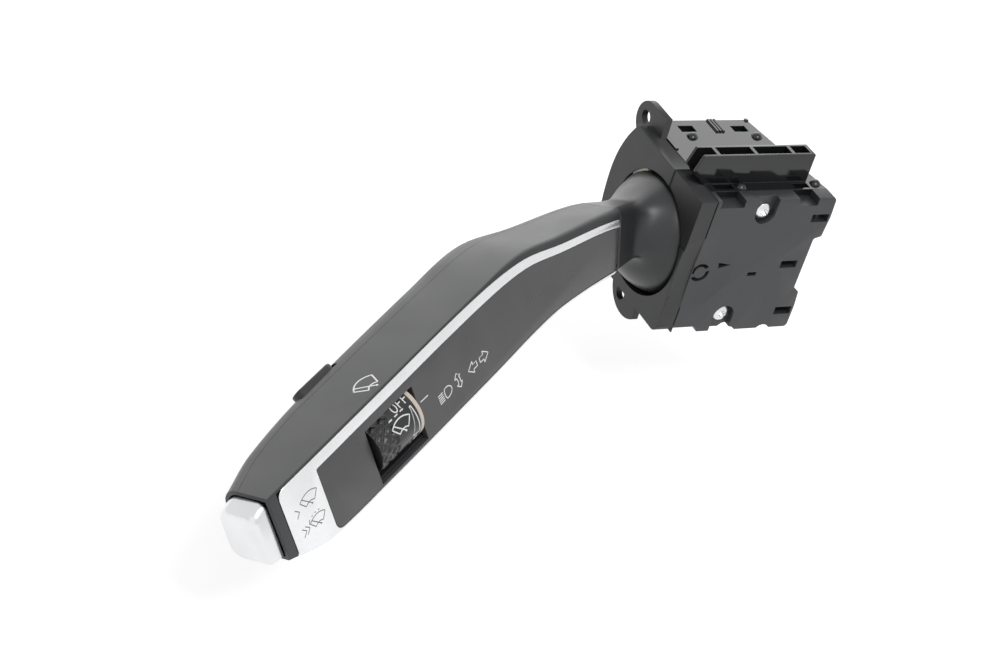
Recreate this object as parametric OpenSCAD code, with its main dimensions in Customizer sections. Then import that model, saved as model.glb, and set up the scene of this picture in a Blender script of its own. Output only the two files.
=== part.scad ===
// Indicator stalk switch: a switch housing with a two-way pivoting lever,
// a rotary wiper drum in the lever and push buttons at its tip and back.
// X runs along the mounting screws, -Y faces the driver, +Z is up.
// Inside the modules the lengths count from the centre of the round opening;
// the finished part counts from the middle of the two mounting ears.

/* [Housing] */
// Depth of the front block, in X
front_t = 7; // [6:0.5:9]
// Length of the housing behind the front plane
housing_l = 56; // [54:1:64]
// Driver side of the housing, from the opening's centre
near_y = 23.5; // [23.5:0.5:26]
// Far side of the housing, from the opening's centre
far_y = 26.4; // [26:0.2:29]
// Top of the housing above the opening's centre
top_z = 28.5; // [28:0.5:31]
// Bottom of the housing below the opening's centre
low_z = 26; // [25.5:0.5:29]
// Wall thickness of the housing box
box_wall = 2.2; // [1.8:0.1:2.6]
// Thickness of the cover plate
cover_t = 5.8; // [5:0.2:6.4]
// Radius of the round opening for the dome
ring_r = 22; // [21.6:0.1:22.2]
// How far the far edge of the front block bulges out
far_bulge = 4.6; // [2:0.2:6]
// Radius of the cone that trims the driver-side corners, at the front plane
corner_cone_r = 30; // [29:0.5:32]

/* [Mounting ears] */
// Thickness of the ears
ear_t = 3.5; // [3:0.25:4]
// Radius of the screw holes in the ears
ear_hole_r = 2.6; // [2.2:0.1:3]
// Lobe radius of the upper ear
ear_top_r = 5.4; // [5:0.2:6.4]
// Lobe radius of the lower ear
ear_low_r = 7; // [6:0.2:7.6]
// Upper ear hole, across
ear_top_y = 26.5; // [26:0.5:28]
// Upper ear hole, height
ear_top_z = 30; // [29:0.5:32]
// Lower ear hole, across
ear_low_y = 7.5; // [6:0.5:9]
// Lower ear hole, below the opening's centre
ear_low_z = 31.5; // [30.5:0.5:33]

/* [Terminal plate] */
// Thickness of the terminal plate
plate_t = 2.4; // [2:0.2:3]
// Height of the connector shroud above the plate
shroud_h = 11; // [8:0.5:13]
// Outer width of the shroud
shroud_w = 6.6; // [5.6:0.2:7.4]
// Length of the shroud
shroud_l = 44.6; // [42:0.5:46]
// Wall of the shroud
shroud_wall = 1.1; // [0.9:0.1:1.3]
// Radius of the heat stake heads
stake_r = 2.1; // [1.8:0.1:2.4]
// Width of one terminal blade
blade_w = 1.6; // [1.2:0.1:2]
// Thickness of the circuit board
board_t = 1.6; // [1.2:0.1:1.8]

/* [Screws] */
// Head radius of the cover screws
screw_head_r = 3; // [2.6:0.1:3.2]
// Head height of the cover screws
screw_head_h = 2; // [1.6:0.1:2.3]
// Shank radius of the cover screws
screw_r = 1.4; // [1.2:0.05:1.5]

/* [Gimbal] */
// Gimbal centre behind the front plane
gimbal_x = 10; // [9.5:0.25:10.5]
// Outer radius of the dome
dome_r = 22.3; // [22:0.05:22.5]
// Wall of the dome
dome_wall = 1.8; // [1.5:0.1:2]
// Radius of the yoke's trunnions
trunnion_r = 3; // [2.4:0.1:3.2]
// Radius of the lever's cross pin
cross_pin_r = 1.8; // [1.5:0.1:2]
// Thickness of the yoke frame
yoke_t = 3; // [2.6:0.2:3.4]
// Radial clearance of pins in their holes
pin_gap = 0.05; // [0.03:0.01:0.08]
// Clearance between moving bodies
run_gap = 0.4; // [0.3:0.05:0.5]

/* [Lever] */
// Swing of the lever towards the driver, in degrees
lever_yaw = 32.5; // [30:0.5:35]
// Droop of the lever's grip, in degrees
lever_droop = 15.5; // [14:0.5:17]
// Roll of the lever's front face upwards, in degrees
lever_roll = 25; // [23:0.5:27]
// Length from the opening's centre to the end of the shells
lever_len = 202.5; // [200:0.5:210]
// Height of the grip
grip_h = 29.8; // [29:0.1:31]
// Front face of the grip, in front of the lever's axis
grip_front = 11; // [10.8:0.1:11.4]
// Back face of the grip, behind the lever's axis
grip_back = 16.5; // [16:0.1:18]
// Height of the grip's middle above the opening's centre
grip_rise = 27.8; // [27:0.1:28.5]
// Height of the lever at its tip
tip_h = 22.6; // [22:0.1:23.6]
// Back of the lever at its tip
tip_back = 7.6; // [7.2:0.1:9]
// Height of the neck where it leaves the dome
neck_h = 17; // [16:0.5:18]
// Tilt of the neck's cross-sections, in degrees
neck_tilt = 29; // [26:1:31]
// Where the neck ends and the shells begin
neck_end = 30; // [28:0.5:32]
// Wall of the lever shells
shell_wall = 1.8; // [1.5:0.1:2]
// Radius of the rounded back edges
back_round = 6.5; // [5:0.5:7]

/* [Front trim] */
// Thickness of the front panel and the trim
panel_t = 1.9; // [1.6:0.1:2.2]
// Width of the bright strip above the panel
strip_w = 4.4; // [3.6:0.2:5]
// Width of the bright line under the panel
line_w = 0.9; // [0.7:0.1:1.2]
// Length of the bright end plate
end_plate_l = 16.6; // [15:0.2:18]
// Width of the black band between the end plate and the button
tip_band = 3.8; // [3.2:0.2:4.4]
// Fitting gap round the panel
panel_gap = 0.15; // [0.1:0.05:0.2]

/* [Wiper drum] */
// Length of the window for the drum
window_l = 23.4; // [22:0.2:24.4]
// Middle of the drum window, back from the end of the shells
drum_set = 54.3; // [53:0.1:56]
// Drum's axis in front of the lever's axis
drum_front = 3.8; // [3.6:0.1:4]
// Length of the knurled part of the drum
knurl_l = 8.6; // [7:0.2:10]
// Depth of the knurl grooves
knurl_d = 0.55; // [0.3:0.05:0.7]
// Knurl ribs round the drum
knurl_n = 26; // [20:1:30]
// Width of the pale ring beside the drum
drum_ring_w = 1.4; // [1.2:0.1:1.6]
// Radius of the drum's spindle
spindle_r = 1.5; // [1.3:0.1:1.8]

/* [Buttons] */
// How far the end button stands out of the shells
button_out = 6.6; // [5.6:0.2:7.6]
// Travel of the end button
button_travel = 2.5; // [1.5:0.25:2.5]
// Radius of the end button's stem
stem_r = 2.5; // [2.2:0.1:2.8]
// Length of the rear button
rear_l = 17.4; // [15:0.2:19]
// Width of the rear button
rear_w = 6.4; // [5.6:0.2:7]
// How far the rear button stands out
rear_out = 1.7; // [1.4:0.1:2]
// Travel of the rear button
rear_travel = 1; // [0.6:0.1:1.2]

/* [Hidden] */
$fn = 48;

face_gap = 0.02;
over = 1;

// Ear seat and pattern centre, which is the part's own origin
origin = [front_t, (ear_top_y + ear_low_y) / 2, (ear_top_z - ear_low_z) / 2];
gimbal = [gimbal_x, 0, 0];

// Number helpers
function mix(a, b, t) = a + (b - a) * t;
function arc(c, r, a0, a1, n) = [for (i = [0:n]) c + r * [cos(mix(a0, a1, i / n)), sin(mix(a0, a1, i / n))]];

// Moves what is drawn about the opening's centre to the part's own origin
module seat() {
    translate(-origin) children();
}

// Lever axes: local x to the tip, y out of the front face, z up the front face
module lever_frame() {
    seat() rotate([lever_roll, lever_droop, 180 + lever_yaw]) children();
}

// A 2D outline in (Y, Z), extruded along X from x0 to x1
module along_x(x0, x1) {
    translate([x0, 0, 0]) rotate([90, 0, 90]) linear_extrude(x1 - x0) children();
}

// A 2D outline in (X, Z), extruded along Y from y0 to y1
module along_y(y0, y1) {
    translate([0, y1, 0]) rotate([90, 0, 0]) linear_extrude(y1 - y0) children();
}

module box(a, b) {
    translate(a) cube(b - a);
}

module rod(p, q, r) {
    v = q - p;
    translate(p) rotate([0, acos(v[2] / norm(v)), atan2(v[1], v[0])]) cylinder(h = norm(v), r = r);
}

// Rotation of a lever point into the housing's axes
function turn_x(p, a) = [p[0], p[1] * cos(a) - p[2] * sin(a), p[1] * sin(a) + p[2] * cos(a)];
function turn_y(p, a) = [p[0] * cos(a) + p[2] * sin(a), p[1], -p[0] * sin(a) + p[2] * cos(a)];
function turn_z(p, a) = [p[0] * cos(a) - p[1] * sin(a), p[0] * sin(a) + p[1] * cos(a), p[2]];
function from_lever(p) = turn_z(turn_y(turn_x(p, lever_roll), lever_droop), 180 + lever_yaw);

// Stations of the lever, tip side last: place, middle height, height, tilt of the section,
// front face and back face
root_h = 21.6;
root_rise = 15.6;
root_back = 12;
waist_h = 24.4;
waist_rise = 24.6;
waist_back = 14.5;
neck_rise = 7;
neck_front = 6.6;
neck_back = 7.4;
taper_l = 47;
taper_back = 13.2;
stations = [
    [2, neck_rise - 3.6, neck_h, neck_tilt, neck_front, neck_back],
    [10, neck_rise, neck_h, neck_tilt, neck_front, neck_back],
    [neck_end, root_rise, root_h, neck_tilt - 2, grip_front, root_back],
    [58, waist_rise, waist_h, 18, grip_front, waist_back],
    [76, grip_rise - 0.2, grip_h - 2.2, 8, grip_front, grip_back - 0.8],
    [100, grip_rise, grip_h, 0, grip_front, grip_back],
    [lever_len - taper_l, grip_rise, grip_h - 0.3, 0, grip_front, grip_back],
    [lever_len - 17, grip_rise + 0.5, grip_h - 1.6, 0, grip_front, taper_back],
    [lever_len, grip_rise + 3.4, tip_h, 0, grip_front, tip_back]
];
last = len(stations) - 1;
function seg(s, i = 0) = i >= last - 1 || s < stations[i + 1][0] ? i : seg(s, i + 1);
function slope(i) = i == 0 ? (stations[1] - stations[0]) / (stations[1][0] - stations[0][0])
    : i == last ? (stations[last] - stations[last - 1]) / (stations[last][0] - stations[last - 1][0])
    : (stations[i + 1] - stations[i - 1]) / (stations[i + 1][0] - stations[i - 1][0]);
function hermite(p, q, m, n, t) =
    p * (2 * t * t * t - 3 * t * t + 1) + m * (t * t * t - 2 * t * t + t)
    + q * (3 * t * t - 2 * t * t * t) + n * (t * t * t - t * t);
function lever_at(s) = let(
    i = seg(s), l = stations[i + 1][0] - stations[i][0], t = (s - stations[i][0]) / l,
    k = hermite(stations[i], stations[i + 1], slope(i) * l, slope(i + 1) * l, t)
) [k[0], k[1], k[2], k[3], min(k[4], grip_front), k[5]];

// A point of the section at station s, given across (w) and up the section (e)
function at_section(k, w, e) = [k[0] - e * sin(k[3]), w, k[1] + e * cos(k[3])];
function place_section(k, pts) = [for (p = pts) at_section(k, p[0], p[1])];
function section_range(s0, s1, n) = [for (i = [0:n]) mix(s0, s1, i / n)];

// Whole cross-section, inset from the outer skin
corner_n = 5;
front_round = 1.6;
function full_outline(k, inset) = let(
    f = k[4] - inset, b = -k[5] + inset, h = k[2] / 2 - inset,
    rb = max(back_round - inset, 1), rf = max(front_round - inset, 0.6)
) concat(
    arc([f - rf, h - rf], rf, 0, 90, corner_n),
    arc([b + rb, h - rb], rb, 90, 180, corner_n),
    arc([b + rb, -h + rb], rb, 180, 270, corner_n),
    arc([f - rf, -h + rf], rf, 270, 360, corner_n)
);

// Solid through a list of rings with equal point counts
module loft(rings) {
    n = len(rings[0]);
    m = len(rings);
    polyhedron(
        points = [for (r = rings) each r],
        faces = concat(
            [[for (i = [0:n - 1]) i]],
            [[for (i = [n - 1:-1:0]) (m - 1) * n + i]],
            [for (j = [0:m - 2]) for (i = [0:n - 1])
                let(a = j * n + i, b = j * n + (i + 1) % n) each [[a, a + n, b], [b, a + n, b + n]]]
        ),
        convexity = 8
    );
}

// Half shells: the split runs behind the front face, along the lever
split_w = -9;
tip_wall = 1.3;
thin_from = 20;
thin_over = 14;
function wall_at(s) = mix(shell_wall, tip_wall, min(1, max(0, (s - lever_len + thin_from) / thin_over)));
split_clear = 0.3;
split_gap = 0.05;
function split_at(k) = max(split_w, -k[5] + back_round + split_clear);
shell_round = 0.8;
shell_steps = 26;
mouth_rib = 0.8;
mouth_step = 0.3;
step_at = lever_len - tip_band;
body_stations = section_range(neck_end, step_at, shell_steps);
rib_stations = [step_at + mouth_step, step_at + mouth_rib];
mouth_stations = section_range(step_at + mouth_rib + mouth_step, lever_len, 2);
function front_outline(k, seat_w, depth, wall) = let(
    h = k[2] / 2, f = k[4] - seat_w, fi = k[4] - depth, rf = shell_round,
    w0 = split_at(k) + split_gap, w1 = w0 + face_gap
) concat(
    [[w1, -h]],
    arc([f - rf, -h + rf], rf, 270, 360, 2),
    arc([f - rf, h - rf], rf, 0, 90, 2),
    [[w0, h], [w0, h - wall], [fi, h - wall], [fi, -h + wall], [w1, -h + wall]]
);
function back_outline(k, wall) = let(
    h = k[2] / 2, b = -k[5], w0 = split_at(k), ro = back_round, ri = back_round - wall
) concat(
    [[w0, h]],
    arc([b + ro, h - ro], ro, 90, 180, corner_n),
    arc([b + ro, -h + ro], ro, 180, 270, corner_n),
    [[w0, -h], [w0, -h + wall]],
    arc([b + ro, -h + ro], ri, 270, 180, corner_n),
    arc([b + ro, h - ro], ri, 180, 90, corner_n),
    [[w0, h - wall]]
);

// Solid that fills the hollow of the shells, less a fitting gap
fit = 0.2;
function cavity_outline(k, wall) = let(
    h = k[2] / 2 - wall - fit, f = k[4] - panel_t - wall - fit, b = -k[5] + wall + fit,
    ri = back_round - wall
) concat(
    [[f, -h], [f, h]],
    arc([b + ri, h - ri], ri, 90, 180, corner_n),
    arc([b + ri, -h + ri], ri, 180, 270, corner_n)
);
module cavity_plug(s0, s1, n) {
    loft([for (s = section_range(s0, s1, n))
        let(k = lever_at(s)) place_section(k, cavity_outline(k, wall_at(s)))]);
}

// Edges of the front face in (length, height), a given way in from its top or bottom
edge_n = 22;
function top_edge(off, s0, s1) = [for (s = section_range(s0, s1, edge_n))
    let(k = lever_at(s), p = at_section(k, 0, k[2] / 2 - off)) [p[0], p[2]]];
function low_edge(off, s0, s1) = [for (s = section_range(s0, s1, edge_n))
    let(k = lever_at(s), p = at_section(k, 0, -k[2] / 2 + off)) [p[0], p[2]]];
function backwards(l) = [for (i = [len(l) - 1:-1:0]) l[i]];
function band(low_off, top_off, s0, s1) =
    concat(low_edge(low_off, s0, s1), backwards(top_edge(top_off, s0, s1)));

// Takes the square corner off a plate: p is the corner, q points into the plate
module corner_cut(p, q, r) {
    translate(p) difference() {
        translate([q[0] > 0 ? -over : -r, q[1] > 0 ? -over : -r]) square(r + over);
        translate([q[0] * r, q[1] * r]) circle(r);
    }
}

// Coil spring along +X from x0 to x1 about (y, z)
wire_sides = 6;
turn_steps = 10;
module coil(x0, x1, y, z, r, wire, turns) {
    steps = turns * turn_steps;
    loft([for (i = [0:steps]) let(a = 360 * i / turn_steps, x = mix(x0 + wire, x1 - wire, i / steps))
        [for (j = [0:wire_sides - 1]) let(b = 360 * j / wire_sides, q = r + wire * cos(b))
            [x + wire * sin(b), y + q * cos(a), z + q * sin(a)]]]);
}

// Front block, ears and box of the housing
ring_relief_r = dome_r + 0.25;
lip_t = 2;
far_chord = 25;
far_round = (far_chord * far_chord + far_bulge * far_bulge) / (2 * far_bulge);
ear_top_end = 17;
right_slant = 7.6;
box_l = housing_l - 1;
box_near = near_y - cover_t;
box_top = top_z - plate_t;
floor_z = low_z - box_wall;
cover_drop = 0.5;
rail_y = 5.6;
rail_z = 6.6;
dish_r = 14.5;
dish_depth = 0.45;
dish_x = 8.5;
dish_z = -1;
top_screw = [28, 22.8];
low_screw = [26.5, -20];
screw_l = 9;
boss_w = 7;
head_gap = 0.7;
head_floor = screw_head_h + 0.6;
slot_window = [14, 14];

module front_face() {
    intersection() {
        translate([-near_y, -low_z]) square([near_y + far_y + far_bulge, low_z + top_z]);
        translate([far_y + far_bulge - far_round, (top_z - low_z) / 2 + 1]) circle(far_round, $fn = 160);
    }
}

module ear_shapes() {
    hull_w = ear_top_y - ear_top_end;
    translate([ear_top_y, ear_top_z]) circle(ear_top_r);
    translate([ear_top_end, top_z - over]) square([hull_w, ear_top_z + ear_top_r - top_z + over]);
    translate([ear_top_end, box_top - over]) square([hull_w + ear_top_r, ear_top_z - box_top + over]);
    translate([ear_low_y, -ear_low_z]) circle(ear_low_r);
    translate([ear_low_y - ear_low_r, -ear_low_z]) square([2 * ear_low_r, ear_low_z - low_z + over]);
}

// Plan of the box, less a wall all round
module plan(wall) {
    slant = right_slant * wall / (far_y + box_near);
    polygon([
        [front_t - over + wall * 0.01, -box_near + wall],
        [box_l - wall * 1.02 - slant, -box_near + wall],
        [box_l - right_slant - wall * 1.02 + slant, far_y - wall],
        [front_t - over + wall * 0.01, far_y - wall]
    ]);
}

module dish() {
    ball = (dish_r * dish_r + dish_depth * dish_depth) / (2 * dish_depth);
    translate([dish_x, dish_depth - near_y - ball, dish_z]) sphere(ball, $fn = 200);
}

module switch_housing() {
    color("#2c2d30") seat() difference() {
        union() {
            difference() {
                along_x(0, front_t) front_face();
                difference() {
                    box([-over, -near_y - over, -low_z - over], [front_t + over, 0, top_z + over]);
                    translate([-over, 0, 0]) rotate([0, 90, 0])
                        cylinder(h = front_t + 2 * over, r1 = corner_cone_r - over,
                            r2 = corner_cone_r + front_t + over, $fn = 96);
                }
            }
            along_x(front_t - ear_t, front_t) ear_shapes();
            difference() {
                translate([0, 0, -low_z]) linear_extrude(low_z + box_top) plan(0);
                translate([0, 0, -floor_z]) linear_extrude(floor_z + top_z) intersection() {
                    plan(box_wall);
                    translate([front_t, -near_y]) square([housing_l, near_y + far_y]);
                }
                box([front_t, -near_y, -floor_z], [box_l - box_wall, box_wall - box_near + over, box_top + over]);
            }
            box([front_t - over, -box_near, box_top - rail_z], [box_l - box_wall, rail_y - box_near, box_top]);
            box([low_screw[0] - boss_w / 2, -box_near, -floor_z - over],
                [low_screw[0] + boss_w / 2, screw_l - box_near, low_screw[1] + boss_w / 2]);
            along_y(far_y - box_wall - trunnion_boss, far_y - over)
                translate([gimbal_x, 0]) circle(trunnion_r + 2);
        }
        translate([-over, 0, 0]) rotate([0, 90, 0]) cylinder(h = front_t + 2 * over, r = ring_r, $fn = 96);
        translate([lip_t, 0, 0]) rotate([0, 90, 0])
            cylinder(h = front_t, r = ring_relief_r, $fn = 96);
        dish();
        for (p = [[ear_top_y, ear_top_z], [ear_low_y, -ear_low_z]])
            along_x(front_t - ear_t - over, front_t + over) translate(p) circle(ear_hole_r);
        for (p = [top_screw, low_screw])
            along_y(-near_y, screw_l - box_near + over) translate(p) circle(screw_r + face_gap);
        along_y(far_y - box_wall - trunnion_boss - over, far_y - over)
            translate([gimbal_x, 0]) circle(trunnion_r + pin_gap);
        for (p = near_stakes)
            translate([p[0], p[1], box_top - stake_foot]) cylinder(h = stake_foot + over, r = post_r + face_gap);
        box([box_l - 10, -slot_window[0], -slot_window[1] - 3], [housing_l + over, 0, -3]);
        pad_notch(0);
        shoe_notch(0);
    }
}

// Cover plate
win_w = 7;
win_h = 2.6;
notch_d = 2.9;
ring_mark_r = [2.4, 3.8];
mark_d = 1;
bump_r = 3.4;
dome_sweep = 1.4;
module cover_outline() {
    right = housing_l;
    step = 3.2;
    low = -low_z - cover_drop;
    difference() {
        polygon([
            [front_t, top_z], [right, top_z], [right + 0.4, top_z - 8], [right - 0.3, 12.4],
            [right - step, 11.4], [right - step, -9.4], [right - 0.6, -11.4], [right, -17.4],
            [right, low], [front_t, low]
        ]);
        translate([8.5, top_z - notch_d]) square([9.6, notch_d + over]);
        translate([40.4, top_z - notch_d]) square([8.2, notch_d + over]);
        for (x = [12, 30.6, 45.4]) translate([x, low - bump_r + 1.5]) circle(bump_r);
        translate([right - 8.4, 18.4]) square([win_w, win_h]);
        translate([right - 8.9, -20.6]) square([win_w, win_h]);
        translate([right - 13.6, -0.2]) square([6.8, 2.4]);
        translate([30, -3.2]) square([3.6, 1.5]);
    }
}
module head_recess(p, way) {
    r = screw_head_r + head_gap;
    along_y(-near_y - over, head_floor - near_y) {
        translate(p) circle(r);
        translate([p[0] - r, way > 0 ? p[1] : p[1] - low_z]) square([2 * r, low_z]);
    }
}
module cover_plate() {
    color("#35363a") seat() difference() {
        along_y(-near_y, -box_near) cover_outline();
        dish();
        translate([front_t - over, 0, 0]) rotate([0, 90, 0])
            cylinder(h = over + dome_sweep, r = ring_relief_r, $fn = 96);
        head_recess(top_screw, 1);
        head_recess(low_screw, -1);
        for (p = [top_screw, low_screw])
            along_y(-near_y, over - box_near) translate(p) circle(screw_r + face_gap);
        along_y(trunnion_floor - near_y, over - box_near) translate([gimbal_x, 0]) circle(trunnion_r + pin_gap);
        along_y(-near_y - over, mark_d - near_y) translate([gimbal_x, 0]) difference() {
            circle(ring_mark_r[1]);
            circle(ring_mark_r[0]);
            rotate(24) translate([-2 * over - ring_mark_r[1], -0.7]) square([2 * ring_mark_r[1] + 4 * over, 1.4]);
        }
        along_y(-near_y - over, mark_d - near_y) polygon([[16.6, 2.6], [21.8, 1.8], [17.2, 0.2]]);
    }
}

// Terminal plate with its connector shroud
far_windows = [[16, 19.4, 6.2, 3.9], [39, 18.9, 6, 3.7]];
near_windows = [[9.6, -16.4, 7.6, 3], [42.2, -16.8, 6.2, 2.8]];
shroud_x = 4.4;
shroud_y = -13;
shroud_floor = 2;
shroud_lift = 4.1;
shroud_rise = 4.8;
rib_t = 1.4;
cells = [[5.9, 14], [21.3, 14], [36.7, 6.4]];
near_stakes = [[20.4, -15.3], [52, -14.4]];
far_stakes = [[18.5, 16.1], [45.4, 15.5]];
stake_foot = 2.1;
post_r = 1.25;
blade_h = 6;
blade_t = 0.64;
blade_pitch = 3;
blade_y = shroud_y + shroud_w / 2;
board_top = box_top - 0.1;
board_edge = 1.5;
blade_x = [for (c = cells) for (i = [1:floor(c[1] / blade_pitch)])
    shroud_x + c[0] + c[1] / 2 + blade_pitch * (i - 0.5 - floor(c[1] / blade_pitch) / 2)];
module terminal_plate() {
    color("#1b1c1f") seat() difference() {
        union() {
            translate([0, 0, box_top]) linear_extrude(plate_t) intersection() {
                plan(0);
                translate([front_t, -near_y]) square([housing_l, near_y + far_y]);
            }
            along_y(shroud_y, shroud_y + shroud_w) polygon([
                [shroud_x, top_z + shroud_h], [shroud_x, top_z + shroud_lift],
                [shroud_x + shroud_rise, top_z - over], [shroud_x + shroud_l, top_z - over],
                [shroud_x + shroud_l, top_z + shroud_h]
            ]);
            for (i = [0:2]) box([30.2 + i * 1.3, 18.6, top_z - over], [31 + i * 1.3, far_y, top_z + 0.8]);
            box([box_l - right_slant - 2.6, far_y - 1.4, top_z - over], [box_l - right_slant, far_y, top_z + 2.8]);
        }
        for (w = concat(far_windows, near_windows))
            translate([w[0], w[1], box_top - over]) cube([w[2], w[3], plate_t + 2 * over]);
        for (c = cells)
            box([shroud_x + c[0], shroud_y + shroud_wall, top_z + shroud_floor],
                [shroud_x + c[0] + c[1], shroud_y + shroud_w - shroud_wall, top_z + shroud_h + over]);
        box([shroud_x - over, shroud_y + shroud_wall, top_z + shroud_floor],
            [shroud_x + cells[0][0] - rib_t, shroud_y + shroud_w - shroud_wall, top_z + shroud_h + over]);
        for (x = blade_x)
            box([x - blade_w / 2 - face_gap, blade_y - blade_t / 2 - face_gap, box_top - over],
                [x + blade_w / 2 + face_gap, blade_y + blade_t / 2 + face_gap, top_z + shroud_h]);
        for (p = concat(near_stakes, far_stakes))
            translate([p[0], p[1], box_top - over]) cylinder(h = plate_t + 2 * over, r = post_r + face_gap);
    }
}

module terminal_blades() {
    color("#c9a24b") seat() for (x = blade_x)
        box([x - blade_w / 2, blade_y - blade_t / 2, board_top],
            [x + blade_w / 2, blade_y + blade_t / 2, top_z + blade_h]);
}

module heat_stakes() {
    color("#26272a") seat() for (p = concat(near_stakes, far_stakes)) {
        translate([p[0], p[1], box_top - stake_foot]) cylinder(h = stake_foot + plate_t + 0.3, r = post_r);
        translate([p[0], p[1], top_z]) intersection() {
            translate([0, 0, -stake_r * 0.35]) sphere(stake_r * 1.06);
            cylinder(h = stake_r, r = stake_r);
        }
    }
}

module cover_screws() {
    socket_r = screw_head_r * 0.42;
    color("#d8dadc") seat() for (p = [top_screw, low_screw])
        translate([p[0], head_floor - near_y, p[1]]) rotate([90, 0, 0]) difference() {
            union() {
                intersection() {
                    cylinder(h = screw_head_h, r = screw_head_r);
                    translate([0, 0, screw_head_h - screw_head_r * 1.6]) sphere(screw_head_r * 1.6);
                }
                translate([0, 0, -screw_l]) cylinder(h = screw_l + over, r = screw_r);
            }
            translate([0, 0, screw_head_h * 0.35]) linear_extrude(screw_head_h)
                for (i = [0:2]) rotate(60 * i) square([2 * socket_r, socket_r * 0.9], center = true);
        }
}

module circuit_board() {
    color("#2f5a3c") seat() difference() {
        translate([0, 0, board_top - board_t]) linear_extrude(board_t) intersection() {
            plan(box_wall + 0.4);
            translate([front_t + board_edge, -box_near + rail_y + 0.3])
                square([housing_l, near_y + far_y]);
        }
        for (p = far_stakes)
            translate([p[0], p[1], box_top - board_t - over]) cylinder(h = board_t + 2 * over, r = post_r + face_gap);
    }
}

// Detent block: a dish about the gimbal centre, with grooves for the plunger
track_w = 17;
track_end_gap = 2.8;
track_back = 7.4;
track_lip = 2.4;
track_end = box_l - right_slant - box_wall - track_end_gap;
track_gap = 0.35;
plunger_reach = track_end - gimbal_x - track_back;
plunger_r = 2.5;
module detent_track() {
    r = plunger_reach + track_gap;
    color("#e9e6da") seat() difference() {
        union() {
            box([track_end - track_back - track_lip, -track_w / 2, -track_w / 2],
                [track_end, track_w / 2, track_w / 2]);
            box([track_end - track_back, 0, -track_w / 4], [track_end, far_y - box_wall, track_w / 4]);
        }
        translate(gimbal) sphere(r, $fn = 120);
        for (a = [-turn_range, 0, turn_range])
            translate(gimbal) rotate([0, a, 0]) translate([r + 0.5, 0, 0]) rotate([90, 0, 0])
                cylinder(h = track_w + over, r = 1.1, center = true);
    }
}

// Blue stop pad and white guide shoe, let into the round opening
pad_a = 96;
shoe_a = -42;
pad_span = 16;
shoe_span = 26;
pad_t = 0.9;
module ring_sector(a, span, r0, r1, x0, x1) {
    intersection() {
        translate([x0, 0, 0]) rotate([0, 90, 0]) difference() {
            cylinder(h = x1 - x0, r = r1, $fn = 96);
            translate([0, 0, -over]) cylinder(h = x1 - x0 + 2 * over, r = r0, $fn = 96);
        }
        along_x(x0 - over, x1 + over) polygon([
            [0, 0],
            for (i = [0:2]) (r1 * 1.2) * [-sin(a + span * (i - 1) / 2), cos(a + span * (i - 1) / 2)]
        ]);
    }
}
pad_depth = 0.45;
module pad_notch(g) {
    ring_sector(pad_a, pad_span + g, ring_r - over, ring_r + pad_depth, 0.6, lip_t + over);
}
module shoe_notch(g) {
    ring_sector(shoe_a, shoe_span + g, ring_r - over, ring_r + 1.6, 0.6, lip_t + over);
}
module stop_pad() {
    color("#3d7fb8") seat()
        ring_sector(pad_a, pad_span - 0.3, ring_r - 0.5, ring_r + pad_depth - face_gap, 0.6, lip_t);
}
module guide_shoe() {
    color("#e8dcc0") seat()
        ring_sector(shoe_a, shoe_span - 0.3, ring_r - 0.8, ring_r + 1.6 - face_gap, 0.6, lip_t);
}

// Gimbal: the yoke turns about Y in the housing, the lever about Z in the yoke
turn_range = 8;
yoke_y = 14.4;
yoke_z = 13.4;
yoke_x = 5;
trunnion_boss = 7;
trunnion_floor = 2.6;
hub_y = 8;
hub_x = 5.6;
module gimbal_yoke() {
    color("#efe9d8") seat() difference() {
        union() {
            box([gimbal_x - yoke_x, -yoke_y, -yoke_z], [gimbal_x + yoke_x, yoke_y, yoke_z]);
            along_y(trunnion_floor + 0.2 - near_y, far_y - box_wall - 0.2)
                translate([gimbal_x, 0]) circle(trunnion_r);
            along_y(-box_near + 0.4, far_y - box_wall - trunnion_boss - 0.4)
                translate([gimbal_x, 0]) circle(trunnion_r + 1.2);
        }
        box([gimbal_x - yoke_x - over, yoke_t - yoke_y, yoke_t - yoke_z],
            [gimbal_x + yoke_x + over, yoke_y - yoke_t, yoke_z - yoke_t]);
        translate([gimbal_x, 0, -yoke_z - over]) cylinder(h = 2 * yoke_z + 2 * over, r = cross_pin_r + pin_gap);
    }
}
slider_h = 8.4;
module contact_slider() {
    color("#3f7fb5") seat() {
        box([gimbal_x - 4, -7, yoke_z], [gimbal_x + 4, 7, yoke_z + 3]);
        for (y = [-5, 0, 5])
            box([gimbal_x - 1.2, y - 0.8, yoke_z + 3 - face_gap], [gimbal_x + 1.2, y + 0.8, yoke_z + slider_h]);
    }
}
module cross_pin() {
    color("#b9bcc0") seat() translate([gimbal_x, 0, -yoke_z]) cylinder(h = 2 * yoke_z, r = cross_pin_r);
}

// Dome and neck
dome_edge = 3.5;
neck_from = 2;
module neck_solid(inset, s0, s1) {
    loft([for (s = section_range(s0, s1, 9))
        let(k = lever_at(s)) place_section(k, full_outline(k, inset))]);
}
module lever_neck() {
    color("#303134") difference() {
        union() {
            seat() intersection() {
                translate(gimbal) sphere(dome_r, $fn = 120);
                box([-dome_r - over, -dome_r - over, -dome_r - over], [dome_edge, dome_r + over, dome_r + over]);
            }
            lever_frame() neck_solid(0, neck_from, neck_end);
        }
        lever_frame() neck_solid(shell_wall, neck_from - 1.5, neck_end + 0.5);
        seat() translate(gimbal) sphere(dome_r - dome_wall, $fn = 120);
    }
}

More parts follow.
